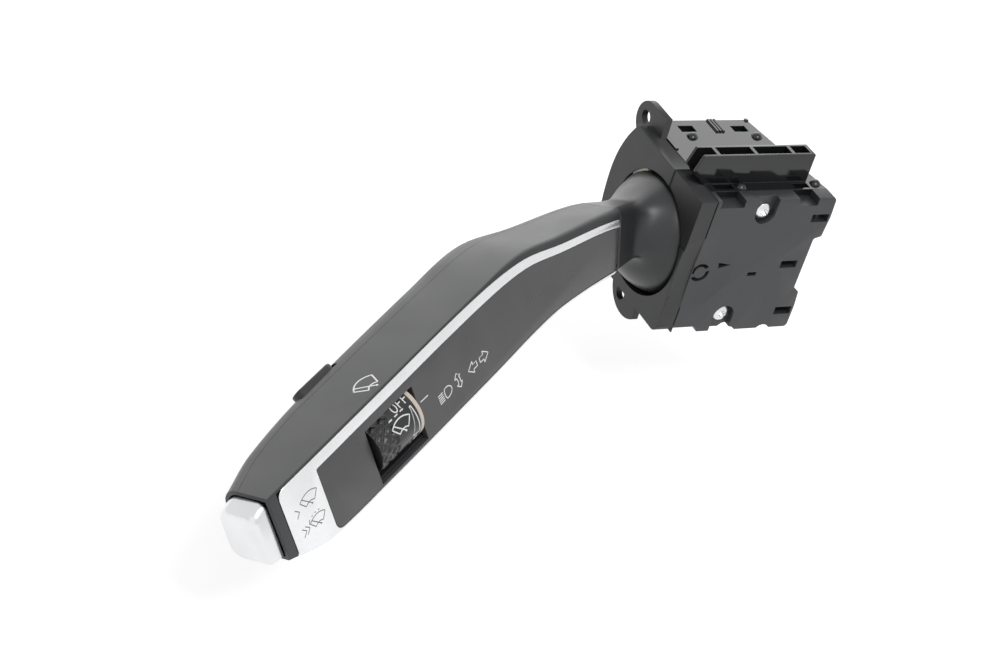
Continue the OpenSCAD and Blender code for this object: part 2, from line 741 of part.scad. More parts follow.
// Inner arm: hub on the cross pin, a rod through the neck and a tail for the detent plunger
rod_r = 3;
rod_end = [34, -3, 17];
tail_l = 17;
tail_r = 4.4;
plunger_from = 13;
spring_from = 6.4;
module lever_arm() {
    color("#3a3c40") seat() difference() {
        union() {
            box([gimbal_x - hub_x, -hub_y, run_gap + yoke_t - yoke_z],
                [gimbal_x + hub_x, hub_y, yoke_z - yoke_t - run_gap]);
            rod(gimbal, from_lever(rod_end), rod_r);
            translate(gimbal) rotate([0, 90, 0]) cylinder(h = tail_l, r = tail_r);
        }
        translate([gimbal_x, 0, -yoke_z]) cylinder(h = 2 * yoke_z, r = cross_pin_r + pin_gap);
        translate([gimbal_x + spring_from, 0, 0]) rotate([0, 90, 0])
            cylinder(h = tail_l, r = plunger_r + pin_gap);
    }
}

// Core that joins the rod to the neck and the shells
plug_from = 19;
plug_to = 44;
module lever_core() {
    color("#44464b") difference() {
        lever_frame() cavity_plug(plug_from, plug_to, 7);
        seat() rod(gimbal, from_lever(rod_end), rod_r + face_gap);
    }
}

module detent_plunger() {
    color("#c8cacc") seat() translate([gimbal_x, 0, 0]) rotate([0, 90, 0]) {
        translate([0, 0, plunger_from]) cylinder(h = plunger_reach - plunger_r - plunger_from, r = plunger_r);
        translate([0, 0, plunger_reach - plunger_r]) sphere(plunger_r);
    }
}
module detent_spring() {
    color("#a9adb1") seat()
        coil(gimbal_x + spring_from + 0.05, gimbal_x + plunger_from - 0.05, 0, 0, plunger_r - 0.75, 0.35, 5);
}

// Lever shells; places along the lever count back from the end of the shells
window_grow = 1.2;
boss_at = [66, 108];
boss_e = -8.6;
boss_r = 2.6;
rib_at = [lever_len - 76.5, lever_len - 30.5];
board_w = -11.5;
lever_board_t = 1.2;
window_low_edge = 2;
window_top_edge = 3.5;
window_lo = grip_rise - grip_h / 2 + window_low_edge;
window_top = grip_rise + grip_h / 2 - strip_w - window_top_edge;
drum_at = lever_len - drum_set;
drum_lift = 1.55;
drum_z = (window_lo + window_top) / 2 + drum_lift;
drum_floor_gap = 1.5;
drum_r = drum_z - (grip_rise - grip_h / 2) - shell_wall - drum_floor_gap;
shell_window_v = [drum_z - drum_r - 0.3, drum_z + drum_r + 0.1];
function boss_point(s) = let(k = lever_at(s)) at_section(k, 0, boss_e);
module front_shell() {
    inner = panel_t + wall_at(step_at);
    color("#2b2d31") lever_frame() difference() {
        union() {
            loft(concat(
                [for (s = body_stations) let(k = lever_at(s))
                    place_section(k, front_outline(k, panel_t, panel_t + wall_at(s), wall_at(s)))],
                [for (s = rib_stations) let(k = lever_at(s))
                    place_section(k, front_outline(k, 0, inner, wall_at(s)))],
                [for (s = mouth_stations) let(k = lever_at(s))
                    place_section(k, front_outline(k, 0, wall_at(s), wall_at(s)))]
            ));
            for (s = boss_at) let(p = boss_point(s))
                translate([p[0], 0, p[2]]) rotate([-90, 0, 0])
                    cylinder(h = grip_front - panel_t - shell_wall + 0.5, r = boss_r);
        }
        box([drum_at - window_l / 2 - window_grow, 0, shell_window_v[0]],
            [tip_side + window_grow, grip_front + over, shell_window_v[1]]);
        for (s = boss_at) let(p = boss_point(s))
            translate([p[0], -over, p[2]]) rotate([-90, 0, 0]) cylinder(h = 6, r = 1);
    }
}

rear_at = lever_len - 51.9;
rear_tilt = 45;
module rear_place() {
    k = lever_at(rear_at);
    translate([rear_at, back_round - k[5], k[1] + k[2] / 2 - back_round]) rotate([rear_tilt, 0, 0]) children();
}
module back_shell() {
    color("#292b2f") lever_frame() difference() {
        union() {
            loft([for (s = concat(body_stations, rib_stations, mouth_stations))
                let(k = lever_at(s)) place_section(k, back_outline(k, wall_at(s)))]);
            for (s = boss_at) let(p = boss_point(s), k = lever_at(s))
                translate([p[0], 1 - k[5], p[2]]) rotate([-90, 0, 0]) cylinder(h = k[5] - 1 - face_gap, r = boss_r);
            for (s = rib_at) let(k = lever_at(s))
                box([s - 1, 0.9 - k[5], drum_z - 6], [s + 1, board_w - face_gap, drum_z + 6]);
        }
        for (s = boss_at) let(p = boss_point(s), k = lever_at(s))
            translate([p[0], -over - k[5], p[2]]) rotate([-90, 0, 0]) {
                cylinder(h = k[5] + 2 * over, r = 1.05);
                cylinder(h = 2.8, r = 2.05);
            }
        rear_place() box([-rear_l / 2 - 0.3, -rear_w / 2 - 0.3, 0], [rear_l / 2 + 0.3, rear_w / 2 + 0.3, 9]);
    }
}

module shell_screws() {
    color("#8f9397") lever_frame() for (s = boss_at) let(p = boss_point(s), k = lever_at(s))
        translate([p[0], -k[5] + 0.3, p[2]]) rotate([-90, 0, 0]) {
            cylinder(h = 1.5, r = 2);
            cylinder(h = k[5] + 3.4, r = 0.98);
        }
}

// Panel and trim, both flat plates let into the front of the shells
trim_s0 = neck_end + panel_gap;
trim_s1 = lever_len - tip_band - panel_gap;
panel_s1 = trim_s1 - end_plate_l;
plate_round = 2.6;
module front_panel() {
    k = lever_at(panel_s1);
    color("#3c3d42") lever_frame() difference() {
        along_y(grip_front - panel_t, grip_front) difference() {
            polygon(band(line_w + panel_gap, strip_w + panel_gap, trim_s0, panel_s1));
            corner_cut([panel_s1, k[1] - k[2] / 2 + line_w + panel_gap], [-1, 1], plate_round);
        }
        box([drum_at - window_l / 2, 0, window_lo], [drum_at + window_l / 2, grip_front + over, window_top]);
        translate([drum_at - window_l / 2, drum_front, drum_z]) rotate([0, 90, 0])
            cylinder(h = window_l, r = drum_r + run_gap, $fn = 96);
    }
}
module chrome_trim() {
    k = lever_at(trim_s1);
    color("#d9dadd") lever_frame() along_y(grip_front - panel_t, grip_front) difference() {
        polygon(band(0, 0, trim_s0, trim_s1));
        polygon(band(line_w, strip_w, neck_end - 3, panel_s1 + panel_gap));
        corner_cut([trim_s1, k[1] + k[2] / 2], [-1, -1], plate_round);
    }
}

// Lever electronics
board_s = [lever_len - 80.5, lever_len - 24.5];
module lever_board() {
    color("#2f5a3c") lever_frame()
        box([board_s[0], board_w, drum_z - 7], [board_s[1], board_w + lever_board_t, drum_z + 8]);
}
module board_lead() {
    half = 4;
    t = 0.4;
    lead_gap = 0.05;
    color("#8a5a2b") lever_frame() loft([for (s = section_range(plug_to + 1, board_s[0] + 6, 14))
        let(k = lever_at(s), w = max(0, grip_back - k[5]) + board_w + lever_board_t + lead_gap + t)
        place_section(k, [[w - t, -half], [w, -half], [w, half], [w - t, half]])]);
}
switch_s = lever_len - 29;
stem_w = 0.5;
stem_v = grip_rise + 2.6;
module button_switch() {
    color("#1d1e20") lever_frame() {
        box([switch_s - 4, board_w + lever_board_t, stem_v - 3.4], [switch_s, stem_w + 2.6, stem_v + 3]);
        translate([switch_s - face_gap, stem_w, stem_v]) rotate([0, 90, 0]) cylinder(h = 1, r = 1.4);
    }
}
module rear_switch() {
    color("#1d1e20") lever_frame()
        box([rear_at - 3, board_w + lever_board_t, drum_z + 5], [rear_at + 3, board_w + lever_board_t + 3.4,
            drum_z + 7.6]);
}

// Drum and what carries it
side_gap = 3;
cradle_t = 1.6;
cradle_h = 10;
cradle_back = board_w + lever_board_t + face_gap;
root_side = drum_at - window_l / 2 - side_gap;
tip_side = drum_at + window_l / 2 + side_gap;
ring_from = drum_at - window_l / 2 + 1.9;
drum_from = ring_from + drum_ring_w + face_gap;
drum_to = drum_at + window_l / 2 - 1;
cam_r = 4.7;
cam_teeth = 12;
cam_notch = 0.6;
module drum_cradle() {
    color("#222326") lever_frame() difference() {
        box([root_side - cradle_t, cradle_back, drum_z - cradle_h],
            [tip_side + cradle_t, grip_front - panel_t - shell_wall - face_gap, drum_z + cradle_h]);
        box([root_side, cradle_back + cradle_t, drum_z - cradle_h - over],
            [tip_side, grip_front, drum_z + cradle_h + over]);
        box([rear_at - 3.3, cradle_back - over, drum_z + 4.7],
            [rear_at + 3.3, cradle_back + cradle_t + over, drum_z + cradle_h + over]);
        translate([root_side - cradle_t - over, drum_front, drum_z]) rotate([0, 90, 0])
            cylinder(h = tip_side - root_side + 2 * cradle_t + 2 * over, r = spindle_r + pin_gap);
    }
}
module drum_spindle() {
    color("#b9bcc0") lever_frame() translate([root_side - cradle_t, drum_front, drum_z]) rotate([0, 90, 0])
        cylinder(h = tip_side - root_side + 2 * cradle_t, r = spindle_r);
}
module drum_detent_leaf() {
    leaf = 0.5;
    back = cradle_back + cradle_t;
    touch = drum_front - cam_r - run_gap;
    color("#c0b070") lever_frame() {
        box([drum_to + 1, back, drum_z - 8], [tip_side - 0.3, back + leaf, drum_z + 2]);
        along_x(drum_to + 1, tip_side - 0.3) polygon([
            [back + leaf - face_gap, drum_z - 3], [touch, drum_z - 0.5], [touch, drum_z + 0.5],
            [back + leaf - face_gap, drum_z + 2]
        ]);
    }
}
module drum_body() {
    color("#1a1b1d") lever_frame() translate([0, drum_front, drum_z]) rotate([0, 90, 0]) difference() {
        union() {
            translate([0, 0, drum_from]) cylinder(h = drum_to - knurl_l - drum_from, r = drum_r, $fn = 96);
            difference() {
                translate([0, 0, drum_to - knurl_l - face_gap]) cylinder(h = knurl_l, r = drum_r, $fn = 96);
                for (i = [0:knurl_n - 1]) rotate(360 * i / knurl_n)
                    translate([drum_r, 0, drum_to - knurl_l]) rotate(45)
                        translate([-knurl_d, -knurl_d, 0]) cube([2 * knurl_d, 2 * knurl_d, knurl_l + over]);
            }
        }
        translate([0, 0, drum_from - over]) cylinder(h = drum_to - drum_from + 2 * over, r = spindle_r + pin_gap);
    }
}
module drum_ring() {
    color("#ece4d4") lever_frame() translate([ring_from, drum_front, drum_z]) rotate([0, 90, 0]) difference() {
        cylinder(h = drum_ring_w, r = drum_r + 0.1, $fn = 96);
        translate([0, 0, -over]) cylinder(h = drum_ring_w + 2 * over, r = spindle_r + pin_gap);
    }
}
module drum_cam() {
    color("#dcd8cc") lever_frame() translate([drum_to + face_gap, drum_front, drum_z]) rotate([0, 90, 0])
        difference() {
            cylinder(h = tip_side - drum_to - 0.6, r = cam_r, $fn = 96);
            translate([0, 0, -over]) cylinder(h = side_gap + 2 * over, r = spindle_r + pin_gap);
            for (i = [0:cam_teeth - 1]) rotate(360 * i / cam_teeth) translate([cam_r + cam_notch / 2, 0, -over])
                cylinder(h = side_gap + 2 * over, r = cam_notch);
        }
}

// End button, its guide and spring
button_inset = tip_wall + 0.35;
button_back = 8;
guide_s = [lever_len - 21, lever_len - 14];
top_drop = 1.6;
function cut_front(k, cut) = [k[0], k[1], k[2], k[3], k[4] - cut, k[5]];
function button_ring(x, inset, drop, cut) = let(k = cut_front(stations[last], cut))
    [for (p = full_outline(k, inset)) [x, p[0], k[1] + p[1] - (p[1] > 0 ? drop : 0)]];
module end_button() {
    end_x = lever_len + button_out;
    color("#dcdde0") lever_frame() {
        loft([
            button_ring(lever_len - button_back, button_inset, 0, panel_t),
            button_ring(lever_len, button_inset, 0, panel_t),
            button_ring(lever_len + 0.2, button_inset, 0, 0),
            button_ring(lever_len + 1, button_inset, 0, 0),
            button_ring(end_x - 1.6, button_inset + 0.1, top_drop * 0.7, 0),
            button_ring(end_x - 0.5, button_inset + 0.5, top_drop * 0.9, 0),
            button_ring(end_x, button_inset + 1.5, top_drop, 0)
        ]);
        translate([switch_s + 1.2 + button_travel, stem_w, stem_v]) rotate([0, 90, 0])
            cylinder(h = lever_len - button_back - switch_s - 1.2 - button_travel + over, r = stem_r);
    }
}
module button_guide() {
    color("#232427") lever_frame() difference() {
        cavity_plug(guide_s[0], guide_s[1], 3);
        translate([guide_s[0] - over, stem_w, stem_v]) rotate([0, 90, 0])
            cylinder(h = guide_s[1] - guide_s[0] + 2 * over, r = stem_r + pin_gap);
    }
}
module button_spring() {
    color("#a9adb1") lever_frame()
        coil(guide_s[1] + 0.05, lever_len - button_back - 0.05, stem_w, stem_v, stem_r + 1, 0.4, 4);
}

module rear_button() {
    end_r = rear_w / 2 - 0.4;
    color("#222326") lever_frame() rear_place() translate([0, 0, back_round - shell_wall - 1.6])
        linear_extrude(shell_wall + 1.6 + rear_out) polygon(concat(
            arc([-rear_l / 2 + end_r, 0], end_r + 0.2, 100, 260, 8),
            [[rear_l / 2 - 1, -rear_w / 2 + 0.1], [rear_l / 2, -rear_w / 2 + 1.4],
             [rear_l / 2, rear_w / 2 - 1.4], [rear_l / 2 - 1, rear_w / 2 - 0.1]]
        ));
}

switch_housing();
cover_plate();
terminal_plate();
terminal_blades();
heat_stakes();
cover_screws();
circuit_board();
detent_track();
stop_pad();
guide_shoe();
gimbal_yoke();
contact_slider();
cross_pin();
lever_neck();
lever_arm();
lever_core();
detent_plunger();
detent_spring();
front_shell();
back_shell();
front_panel();
chrome_trim();
shell_screws();
lever_board();
board_lead();
drum_cradle();
drum_spindle();
drum_detent_leaf();
button_guide();
button_spring();
button_switch();
rear_switch();
drum_body();
drum_ring();
drum_cam();
end_button();
rear_button();
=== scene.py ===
"""Looks of the indicator stalk switch: skins, finishes, knurled drum, prints and the studio."""

import math

import bmesh
import bpy
import numpy as np
from bpy.props import FloatProperty, FloatVectorProperty, IntProperty, PointerProperty
from mathutils import Matrix, Vector
from mathutils.bvhtree import BVHTree


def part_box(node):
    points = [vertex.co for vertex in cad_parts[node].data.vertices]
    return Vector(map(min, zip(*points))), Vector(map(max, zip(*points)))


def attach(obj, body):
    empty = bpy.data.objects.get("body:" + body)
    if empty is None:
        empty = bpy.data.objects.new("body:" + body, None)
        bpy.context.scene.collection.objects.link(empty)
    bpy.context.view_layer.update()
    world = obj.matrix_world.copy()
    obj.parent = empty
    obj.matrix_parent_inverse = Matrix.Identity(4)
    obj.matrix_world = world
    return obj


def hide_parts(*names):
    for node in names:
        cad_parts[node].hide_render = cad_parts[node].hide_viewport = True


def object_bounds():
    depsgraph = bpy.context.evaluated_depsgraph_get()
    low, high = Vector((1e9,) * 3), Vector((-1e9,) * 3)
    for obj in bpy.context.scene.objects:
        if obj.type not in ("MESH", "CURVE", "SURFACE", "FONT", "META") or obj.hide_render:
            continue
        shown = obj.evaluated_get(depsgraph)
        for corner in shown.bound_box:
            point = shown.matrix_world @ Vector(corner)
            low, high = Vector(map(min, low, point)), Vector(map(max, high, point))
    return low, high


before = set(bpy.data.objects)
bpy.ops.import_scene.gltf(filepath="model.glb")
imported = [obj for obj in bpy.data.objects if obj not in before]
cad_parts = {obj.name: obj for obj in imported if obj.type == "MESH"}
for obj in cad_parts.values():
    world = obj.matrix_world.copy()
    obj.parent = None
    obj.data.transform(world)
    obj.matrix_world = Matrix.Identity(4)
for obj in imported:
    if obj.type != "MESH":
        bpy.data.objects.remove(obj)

bl_info = {
    "name": "Indicator stalk switch",
    "version": (1, 0, 0),
    "blender": (4, 5, 0),
    "location": "3D View > Sidebar > Stalk switch",
    "description": "Finishes and prints of a steering column stalk switch",
    "category": "Object",
}

CAD_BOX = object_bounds()
MM = 0.001

# The lever's own axes in the part's frame: along to the tip, out of the front face, up the face
LEVER_TURN = (
    Matrix.Rotation(math.radians(180 + 32.5), 3, "Z")
    @ Matrix.Rotation(math.radians(15.5), 3, "Y")
    @ Matrix.Rotation(math.radians(25), 3, "X")
)
OPENING_CENTRE = Vector((-7, -17, 0.75)) * MM
ALONG, OUTWARD, UPWARD = (LEVER_TURN.col[i].normalized() for i in range(3))
HOUSING_PLACE = Matrix.Translation(OPENING_CENTRE) @ Matrix.Scale(MM, 4)
LEVER_PLACE = Matrix.Translation(OPENING_CENTRE) @ LEVER_TURN.to_4x4() @ Matrix.Scale(MM, 4)

# The drum in the lever's millimetres: its axis and radius, and along it the drum's start, the
# knurl's start and the end of both
DRUM_FRONT, DRUM_UP, DRUM_R = 3.8, 26.4, 10.2
DRUM_START, KNURL_START, DRUM_END = 139.84, 150.3, 158.9
KNURL_ROWS, KNURL_PITCH = 26, 4.4

# Sections of the lever, in millimetres: place, middle height, height, tilt in degrees, front
# face, back face, shell above the bright strip and share of the strip's width
LEVER_LEN, NECK_START, NECK_END, NECK_TILT, GRIP_FRONT = 202.5, 2, 26.2, 29, 11
STATIONS = (
    (NECK_START, 6.65, 17.5, NECK_TILT, 9.0, 10.0, 4.4, 0.68),
    (11, 9.7, 18.1, NECK_TILT, 8.4, 9.2, 4.2, 0.68),
    (17, 11.45, 19.8, NECK_TILT, 8.2, 9.2, 3.8, 0.68),
    (30, 16.6, 21.7, 27, 11, 12, 3.0, 0.68),
    (58, 23.8, 24.1, 18, 11, 15.3, 2.4, 0.72),
    (76, 27.3, 28.4, 8, 11, 18.2, 1.9, 0.86),
    (100, 27.8, 29.8, 0, 11, 17.6, 0.7, 1),
    (155.5, 27.8, 29.5, 0, 11, 16.5, 0.6, 1),
    (185.5, 28.3, 28.2, 0, 11, 13.2, 0.6, 1),
    (LEVER_LEN, 31.2, 22.6, 0, 11, 7.6, 0.6, 1),
)

# Walls of the shells, the round back and where the halves part; panel, strip and their gaps;
# band at the tip, end plate, rear button and shell screws; window from start to end, low to high
SHELL_WALL, TIP_WALL, BACK_ROUND, SPLIT = 1.8, 1.3, 6.5, -9
PANEL_T, STRIP_W, TRIM_GAP, GAP, LINE_W = 1.9, 3.8, 0.2, 0.15, 0.9
TIP_BAND, PLATE_L = 3.8, 16.6
REAR_AT = LEVER_LEN - 51.9
SHELL_SCREWS_AT = (66, 108)
WINDOW = (136.5, 159.9, 14.9, 34.8)

# Housing, in millimetres: front block and the box behind it, opening and dome, ears, cover and
# terminal plate with the recesses in the cover, and the places of the screws
BLOCK_T, BOX_END, NEAR_Y, FAR_Y, TOP_Z, LOW_Z = 7, 56, -23.5, 26.4, 28.5, -26
OPENING_R, DOME_R, DOME_GAP, DOME_WALL, DOME_EDGE = 22, 22.3, 0.25, 1.3, 3.5
DOME_CENTRE = Vector((10, 0, 0))
EAR_T, EAR_HOLE_R = 2.4, 2.6
COVER_T, PLATE_T, SCREW_R, RECESS = 5.8, 2.4, 4.1, 2.6
SCREWS = ((28, 22.8), (26.5, -20))

# Studio, in metres: camera and its axes, lamps with their places and sizes, floor
CAMERA_AT = (-0.4552, -0.5821, 0.41105)
CAMERA_RIGHT, CAMERA_BACK = (0.872, -0.417, 0.257), (-0.487, -0.683, 0.545)
LAMPS = (
    ("key", (-0.03, -0.6, 0.9), 0.38),
    ("fill", (-0.75, -0.75, 0.35), 0.9),
    ("back", (0.2, 0.95, 0.55), 1.3),
)
FLOOR_HALF, FLOOR_DROP, FLOOR_SHADE, FLOOR_GLOW = 3.0, 0.03, 0.75, 0.5
WHITE = (1.0, 1.0, 1.0)

# Relief of metal and widths of printed lines, in metres
METAL_RELIEF = 0.000003
THIN_LINE, FINE_LINE, BOLD_LINE = 0.0003, 0.0004, 0.00055


def lever_point(along, out, up):
    """A point of the lever, given in millimetres along, out of and up its front face."""
    return OPENING_CENTRE + LEVER_TURN @ (Vector((along, out, up)) * MM)


class StalkFinish(bpy.types.PropertyGroup):
    """Colours and grain of the switch's surfaces"""

    housing_colour: FloatVectorProperty(
        name="Housing", description="Moulded housing and cover", subtype="COLOR",
        default=(0.017, 0.0175, 0.019), min=0, max=1)
    plate_colour: FloatVectorProperty(
        name="Terminal plate", description="Plate and shroud that carry the terminals",
        subtype="COLOR", default=(0.012, 0.0125, 0.014), min=0, max=1)
    lever_colour: FloatVectorProperty(
        name="Lever", description="Shells and neck of the lever", subtype="COLOR",
        default=(0.02, 0.021, 0.023), min=0, max=1)
    panel_colour: FloatVectorProperty(
        name="Front panel", description="Panel that carries the symbols", subtype="COLOR",
        default=(0.074, 0.071, 0.073), min=0, max=1)
    trim_colour: FloatVectorProperty(
        name="Bright trim", description="Strip, end plate and end button", subtype="COLOR",
        default=(0.76, 0.765, 0.775), min=0, max=1)
    print_colour: FloatVectorProperty(
        name="Prints", description="Symbols on the dark surfaces", subtype="COLOR",
        default=(0.86, 0.87, 0.88), min=0, max=1)
    grain_size: FloatProperty(
        name="Grain size", description="Size of the moulded grain", subtype="DISTANCE",
        default=0.00035, min=0.0001, max=0.001)
    edge_radius: FloatProperty(
        name="Edge radius", description="Softened edge of the moulded pieces", subtype="DISTANCE",
        default=0.00028, min=0, max=0.001)


class StalkPrints(bpy.types.PropertyGroup):
    """Line width and height of the printed symbols"""

    line_width: FloatProperty(
        name="Line width", description="Width of a printed line", subtype="DISTANCE",
        default=0.00046, min=0.0002, max=0.001)
    line_height: FloatProperty(
        name="Line height", description="Thickness of the paint", subtype="DISTANCE",
        default=0.00005, min=0.00002, max=0.0002)
    knurl_count: IntProperty(
        name="Knurls", description="Diamonds round the drum", default=17, min=12, max=40)
    knurl_depth: FloatProperty(
        name="Knurl depth", description="Depth between the diamonds", subtype="DISTANCE",
        default=0.0006, min=0.0001, max=0.001)


class StalkStage(bpy.types.PropertyGroup):
    """Camera and light of the studio"""

    lens: FloatProperty(
        name="Lens", description="Focal length on a 36 mm wide frame",
        default=86.4, min=20, max=200)
    sky: FloatProperty(
        name="Surround", description="Strength of the white surround", default=0.45, min=0, max=2)
    key: FloatProperty(
        name="Key light", description="Strength of the overhead lamp", default=4.2, min=0, max=60)
    fill: FloatProperty(
        name="Fill light", description="Strength of the lamp beside the camera",
        default=0.5, min=0, max=60)
    back: FloatProperty(
        name="Back light", description="Strength of the broad lamp behind",
        default=7.5, min=0, max=60)


# Materials


def new_material(name):
    """A material with its shader, and the helpers' handle on its nodes."""
    material = bpy.data.materials.new(name)
    material.use_nodes = True
    shader = material.node_tree.nodes["Principled BSDF"]
    return material, material.node_tree, shader


def object_noise(tree, scale, detail, drawn=(1, 1, 1)):
    """Noise on the object's own coordinates."""
    coords = tree.nodes.new("ShaderNodeTexCoord")
    place = tree.nodes.new("ShaderNodeMapping")
    noise = tree.nodes.new("ShaderNodeTexNoise")
    place.inputs["Scale"].default_value = drawn
    noise.inputs["Scale"].default_value = scale
    noise.inputs["Detail"].default_value = detail
    tree.links.new(coords.outputs["Object"], place.inputs["Vector"])
    tree.links.new(place.outputs["Vector"], noise.inputs["Vector"])
    return noise


def spread(tree, source, low, high):
    """Turns a 0 to 1 texture into values from low to high."""
    ramp = tree.nodes.new("ShaderNodeMapRange")
    ramp.inputs["From Min"].default_value = 0.3
    ramp.inputs["From Max"].default_value = 0.7
    ramp.inputs["To Min"].default_value = low
    ramp.inputs["To Max"].default_value = high
    tree.links.new(source, ramp.inputs["Value"])
    return ramp.outputs["Result"]


def shade_between(tree, source, colour, change):
    """Colour that wanders a little about the given one."""
    mix = tree.nodes.new("ShaderNodeMix")
    mix.data_type = "RGBA"
    mix.inputs["A"].default_value = (*(c * (1 - change) for c in colour), 1)
    mix.inputs["B"].default_value = (*(min(1, c * (1 + change)) for c in colour), 1)
    tree.links.new(spread(tree, source, 0, 1), mix.inputs["Factor"])
    return mix.outputs["Result"]


def grain(tree, shader, noise, depth, edge):
    """Soft edges and a fine relief on the surface."""
    bump = tree.nodes.new("ShaderNodeBump")
    bump.inputs["Strength"].default_value = 1.0
    bump.inputs["Distance"].default_value = depth
    tree.links.new(noise.outputs["Fac"], bump.inputs["Height"])
    if edge:
        soft = tree.nodes.new("ShaderNodeBevel")
        soft.samples = 6
        soft.inputs["Radius"].default_value = edge
        tree.links.new(soft.outputs["Normal"], bump.inputs["Normal"])
    tree.links.new(bump.outputs["Normal"], shader.inputs["Normal"])


def colour_and_gloss(tree, shader, colour, rough):
    """Gives the shader its two textures."""
    tree.links.new(colour, shader.inputs["Base Color"])
    tree.links.new(rough, shader.inputs["Roughness"])


def moulded(name, colour, rough, depth=0.000012, change=0.12, edge=True):
    """Moulded plastic with a fine grain."""
    finish = bpy.context.scene.stalk_finish
    material, tree, shader = new_material(name)
    fine = object_noise(tree, 1 / finish.grain_size, 2.0)
    broad = object_noise(tree, 60.0, 4.0).outputs["Fac"]
    colour_and_gloss(
        tree, shader, shade_between(tree, broad, colour, change),
        spread(tree, broad, rough - 0.04, rough + 0.05))
    grain(tree, shader, fine, depth, finish.edge_radius if edge else 0)
    return material


def metal(name, colour, rough, drawn=(1, 1, 1), scale=3000.0):
    """Metal or metallised plastic with a fine drawn or blasted surface."""
    finish = bpy.context.scene.stalk_finish
    material, tree, shader = new_material(name)
    shader.inputs["Metallic"].default_value = 1.0
    fine = object_noise(tree, scale, 3.0, drawn)
    broad = object_noise(tree, 90.0, 3.0).outputs["Fac"]
    colour_and_gloss(
        tree, shader, shade_between(tree, broad, colour, 0.04),
        spread(tree, fine.outputs["Fac"], rough - 0.04, rough + 0.06))
    grain(tree, shader, fine, METAL_RELIEF, finish.edge_radius)
    return material


def dress(node, material):
    """Gives a CAD node its finish."""
    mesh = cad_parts[node].data
    mesh.materials.clear()
    mesh.materials.append(material)


def add_piece(name, mesh, body, slot, *replaced):
    """Puts a finished mesh in the scene, on its body."""
    piece = bpy.data.objects.new(name, mesh)
    bpy.context.scene.collection.objects.link(piece)
    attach(piece, body)
    if replaced:
        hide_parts(*replaced)
    return piece


# Printed lines


def arc_points(cx, cy, rx, ry, start, end, steps=14):
    """Points on an ellipse, in degrees."""
    return [
        (cx + rx * math.cos(math.radians(start + (end - start) * i / steps)),
         cy + ry * math.sin(math.radians(start + (end - start) * i / steps)))
        for i in range(steps + 1)
    ]


def closed(points):
    """A line that ends where it starts, a little past the joint."""
    return points + [points[0], points[1]]


def in_short_steps(points, step=0.5):
    """The same line with points close enough together to follow a round surface."""
    line = [points[0]]
    for (x, y), (u, v) in zip(points, points[1:]):
        count = max(1, math.ceil(math.hypot(u - x, v - y) / step))
        line += [(x + (u - x) * i / count, y + (v - y) * i / count) for i in range(1, count + 1)]
    return line


def line_mesh(name, strokes, width):
    """Mesh of printed lines, flat in x and y, from a temporary curve."""
    curve = bpy.data.curves.new(name, "CURVE")
    curve.dimensions = "3D"
    curve.bevel_depth = width / 2
    curve.bevel_resolution = 1
    curve.use_fill_caps = True
    for corners in strokes:
        points = in_short_steps(corners)
        spline = curve.splines.new("POLY")
        spline.points.add(len(points) - 1)
        for place, (x, y) in zip(spline.points, points):
            place.co = (x * MM, y * MM, 0, 1)
    holder = bpy.data.objects.new(name, curve)
    mesh = bpy.data.meshes.new_from_object(holder)
    bpy.data.objects.remove(holder)
    bpy.data.curves.remove(curve)
    return mesh


def print_symbol(name, strokes, place, body, slot, material, width=None):
    """Prints lines on a surface: place turns (x, y) into a point and its outward direction."""
    prints = bpy.context.scene.stalk_prints
    width = width or prints.line_width
    mesh = line_mesh(name, strokes, width)
    rise = prints.line_height / (width / 2)
    for vertex in mesh.vertices:
        point, outward = place(vertex.co.x / MM, vertex.co.y / MM)
        vertex.co = point + outward * (vertex.co.z * rise)
    mesh.materials.append(material)
    for face in mesh.polygons:
        face.use_smooth = True
    return add_piece(name, mesh, body, slot)


def on_surface(piece, origin, right, up, outward):
    """Lays prints on a piece, looking at it against the outward direction."""
    skin = bmesh.new()
    skin.from_mesh(bpy.data.objects[piece].data)
    tree = BVHTree.FromBMesh(skin)
    skin.free()

    def place(x, y):
        start = origin + right * (x * MM) + up * (y * MM) + outward * (20 * MM)
        hit = tree.ray_cast(start, -outward)[0]
        return (hit if hit is not None else start - outward * (20 * MM)), outward

    return place


def on_drum(along0, angle0, radius):
    """Lays prints round the drum: x runs to the root, y round it."""
    centre = lever_point(0, DRUM_FRONT, DRUM_UP)

    def place(x, y):
        angle = math.radians(angle0) + y / radius
        outward = OUTWARD * math.cos(angle) + UPWARD * math.sin(angle)
        return centre + ALONG * ((along0 - x) * MM) + outward * (radius * MM), outward

    return place


def shifted(strokes, dx, dy, size=1.0, turn=0.0):
    """Moves, scales and turns a symbol's lines."""
    c, s = math.cos(math.radians(turn)), math.sin(math.radians(turn))
    return [
        [(dx + size * (c * x - s * y), dy + size * (s * x + c * y)) for x, y in line]
        for line in strokes]


def taller(strokes, times):
    """Stretches a symbol's lines in height."""
    return [[(x, y * times) for x, y in line] for line in strokes]


def wiper_symbol():
    """Windscreen with a wiper."""
    glass = arc_points(0, -4.6, 7.2, 7.2, 128, 52) + arc_points(0, -4.6, 3.6, 3.6, 52, 128, 8)
    hub = arc_points(0.7, -2.35, 0.22, 0.22, 0, 360, 6)
    return [closed(glass), [(0.6, -2.2), (-3.1, 1.7)], hub]


def washer_symbol():
    """Windscreen with a wiper and drops of water above it."""
    drops = [arc_points(0, -4.6, 8.3, 8.3, a + 5, a, 2) for a in (118, 104, 90, 76)]
    return wiper_symbol() + drops + [[(-4.4, 2.2), (-4.9, 1.2)]]


def chevrons(count):
    """One or two arrow heads that point to the right."""
    return [[(-i * 1.5 - 1.6, 1.5), (-i * 1.5, 0), (-i * 1.5 - 1.6, -1.5)] for i in range(count)]


